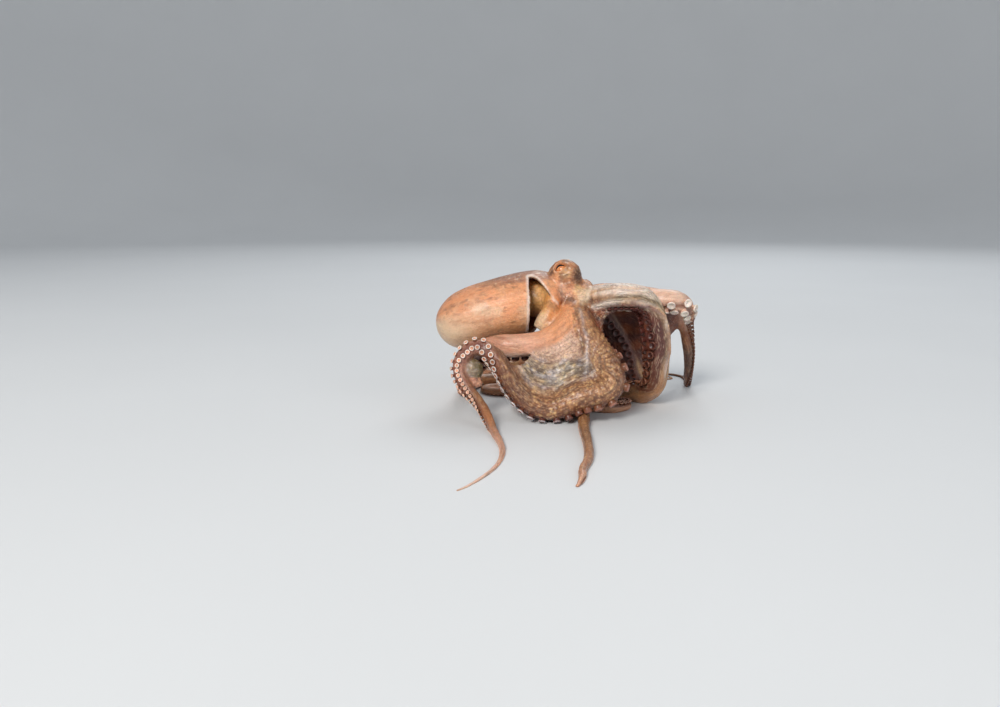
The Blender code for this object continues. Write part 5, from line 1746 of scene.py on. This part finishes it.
def floor_material():
    """Pale matt floor with a very faint unevenness."""
    made, tree, shader = new_material("pale floor")
    place = add_node(tree, "ShaderNodeTexCoord").outputs["Object"]
    cloud = noise_node(tree, place, Scale=3.0, Detail=2.0)
    colour = mix_colours(tree, cloud, (0.72, 0.73, 0.74, 1), (0.76, 0.77, 0.78, 1))
    tree.links.new(colour, shader.inputs["Base Color"])
    shader.inputs["Roughness"].default_value = 0.75
    return made


# ================================ floor, light and camera ================================
# Lengths of the floor and of the lights are in metres.
FLOOR_MIDDLE, FLOOR_REACH, SWEEP_RADIUS, WALL_HEIGHT = 0.5, 3.0, 1.5, 3.5
LIT_POINT = (0.0, 0.0, 0.06)
# Name, place, size, watts and colour: a soft key from high on the viewer's left, a weaker fill from the
# right and a rim from behind.
LIGHTS = (
    ("key", (-0.9, -2.0, 1.5), 0.8, 52.0, (1.0, 0.97, 0.92)),
    ("fill", (1.8, -1.6, 1.1), 1.6, 11.0, (0.94, 0.97, 1.0)),
    ("rim", (0.5, 1.9, 1.9), 1.2, 20.0, (0.95, 0.98, 1.0)),
)
SKY_COLOUR, SKY_STRENGTH = (0.80, 0.86, 0.93, 1), 0.36
CAMERA_DISTANCE = 692.8        # from the point looked at
CAMERA_TILT = math.radians(10)
CAMERA_TARGET = np.array((-52.0, 0.0, 41.0))
CAMERA_VIEW = math.radians(60)  # from the left edge to the right
SENSOR_WIDTH = 36.0


def add_floor(around=96, steps=24):
    """A pale round floor that sweeps up into a wall all round: a level run, a quarter circle and a rise,
    turned about the upright."""
    bend = np.linspace(0, np.pi / 2, steps)
    wall = FLOOR_REACH + SWEEP_RADIUS
    out = np.concatenate(([FLOOR_MIDDLE], FLOOR_REACH + SWEEP_RADIUS * np.sin(bend), [wall]))
    rise = np.concatenate(([0.0], SWEEP_RADIUS * (1 - np.cos(bend)), [WALL_HEIGHT]))
    turn = 2 * np.pi * np.arange(around) / around
    upright = np.broadcast_to(rise[:, None], (len(rise), around))
    points = np.stack((out[:, None] * np.cos(turn), out[:, None] * np.sin(turn), upright), -1)
    mesh = bpy.data.meshes.new("floor")
    faces = grid_faces(len(out), around)[:, ::-1].tolist() + [list(range(around))]
    mesh.from_pydata(points.reshape(-1, 3).tolist(), [], faces)
    mesh.shade_smooth()
    mesh.materials.append(floor_material())
    in_scene(bpy.data.objects.new("floor", mesh))


def aim(thing, target):
    """Turns a light or camera's -Z towards a point."""
    way = Vector(target) - thing.location
    thing.rotation_euler = way.to_track_quat("-Z", "Y").to_euler()


def add_lights():
    """The three lights and a pale sky."""
    for name, place, size, watts, colour in LIGHTS:
        light = bpy.data.lights.new(name, "AREA")
        light.size, light.energy, light.color = size, watts, colour
        lamp = in_scene(bpy.data.objects.new(name, light))
        lamp.location = place
        aim(lamp, LIT_POINT)
    world = bpy.data.worlds.new("studio")
    world.use_nodes = True
    sky = world.node_tree.nodes["Background"]
    sky.inputs[0].default_value = SKY_COLOUR
    sky.inputs[1].default_value = SKY_STRENGTH
    bpy.context.scene.world = world


def add_camera():
    """In front of the animal, looking a little down on it."""
    back = np.array((0.0, -math.cos(CAMERA_TILT), math.sin(CAMERA_TILT)))
    lens = bpy.data.cameras.new("camera")
    lens.sensor_width = SENSOR_WIDTH
    lens.lens = SENSOR_WIDTH / 2 / math.tan(CAMERA_VIEW / 2)
    camera = in_scene(bpy.data.objects.new("camera", lens))
    camera.location = (CAMERA_TARGET + ORIGIN + back * CAMERA_DISTANCE) * MM
    aim(camera, (CAMERA_TARGET + ORIGIN) * MM)
    bpy.context.scene.camera = camera


def main():
    """The dressed octopus on its pale floor, lit and in view of the camera."""
    detail = flesh_detail_group()
    suckers, eye = sucker_material(detail), eye_material()
    make_skin(skin_material(detail))
    for name in ARM_LINES:
        make_suckers(name, suckers)
    for name in EYES:
        make_eye(name, eye)
    add_floor()
    add_lights()
    add_camera()
    bpy.context.scene.view_settings.view_transform = "Standard"


main()
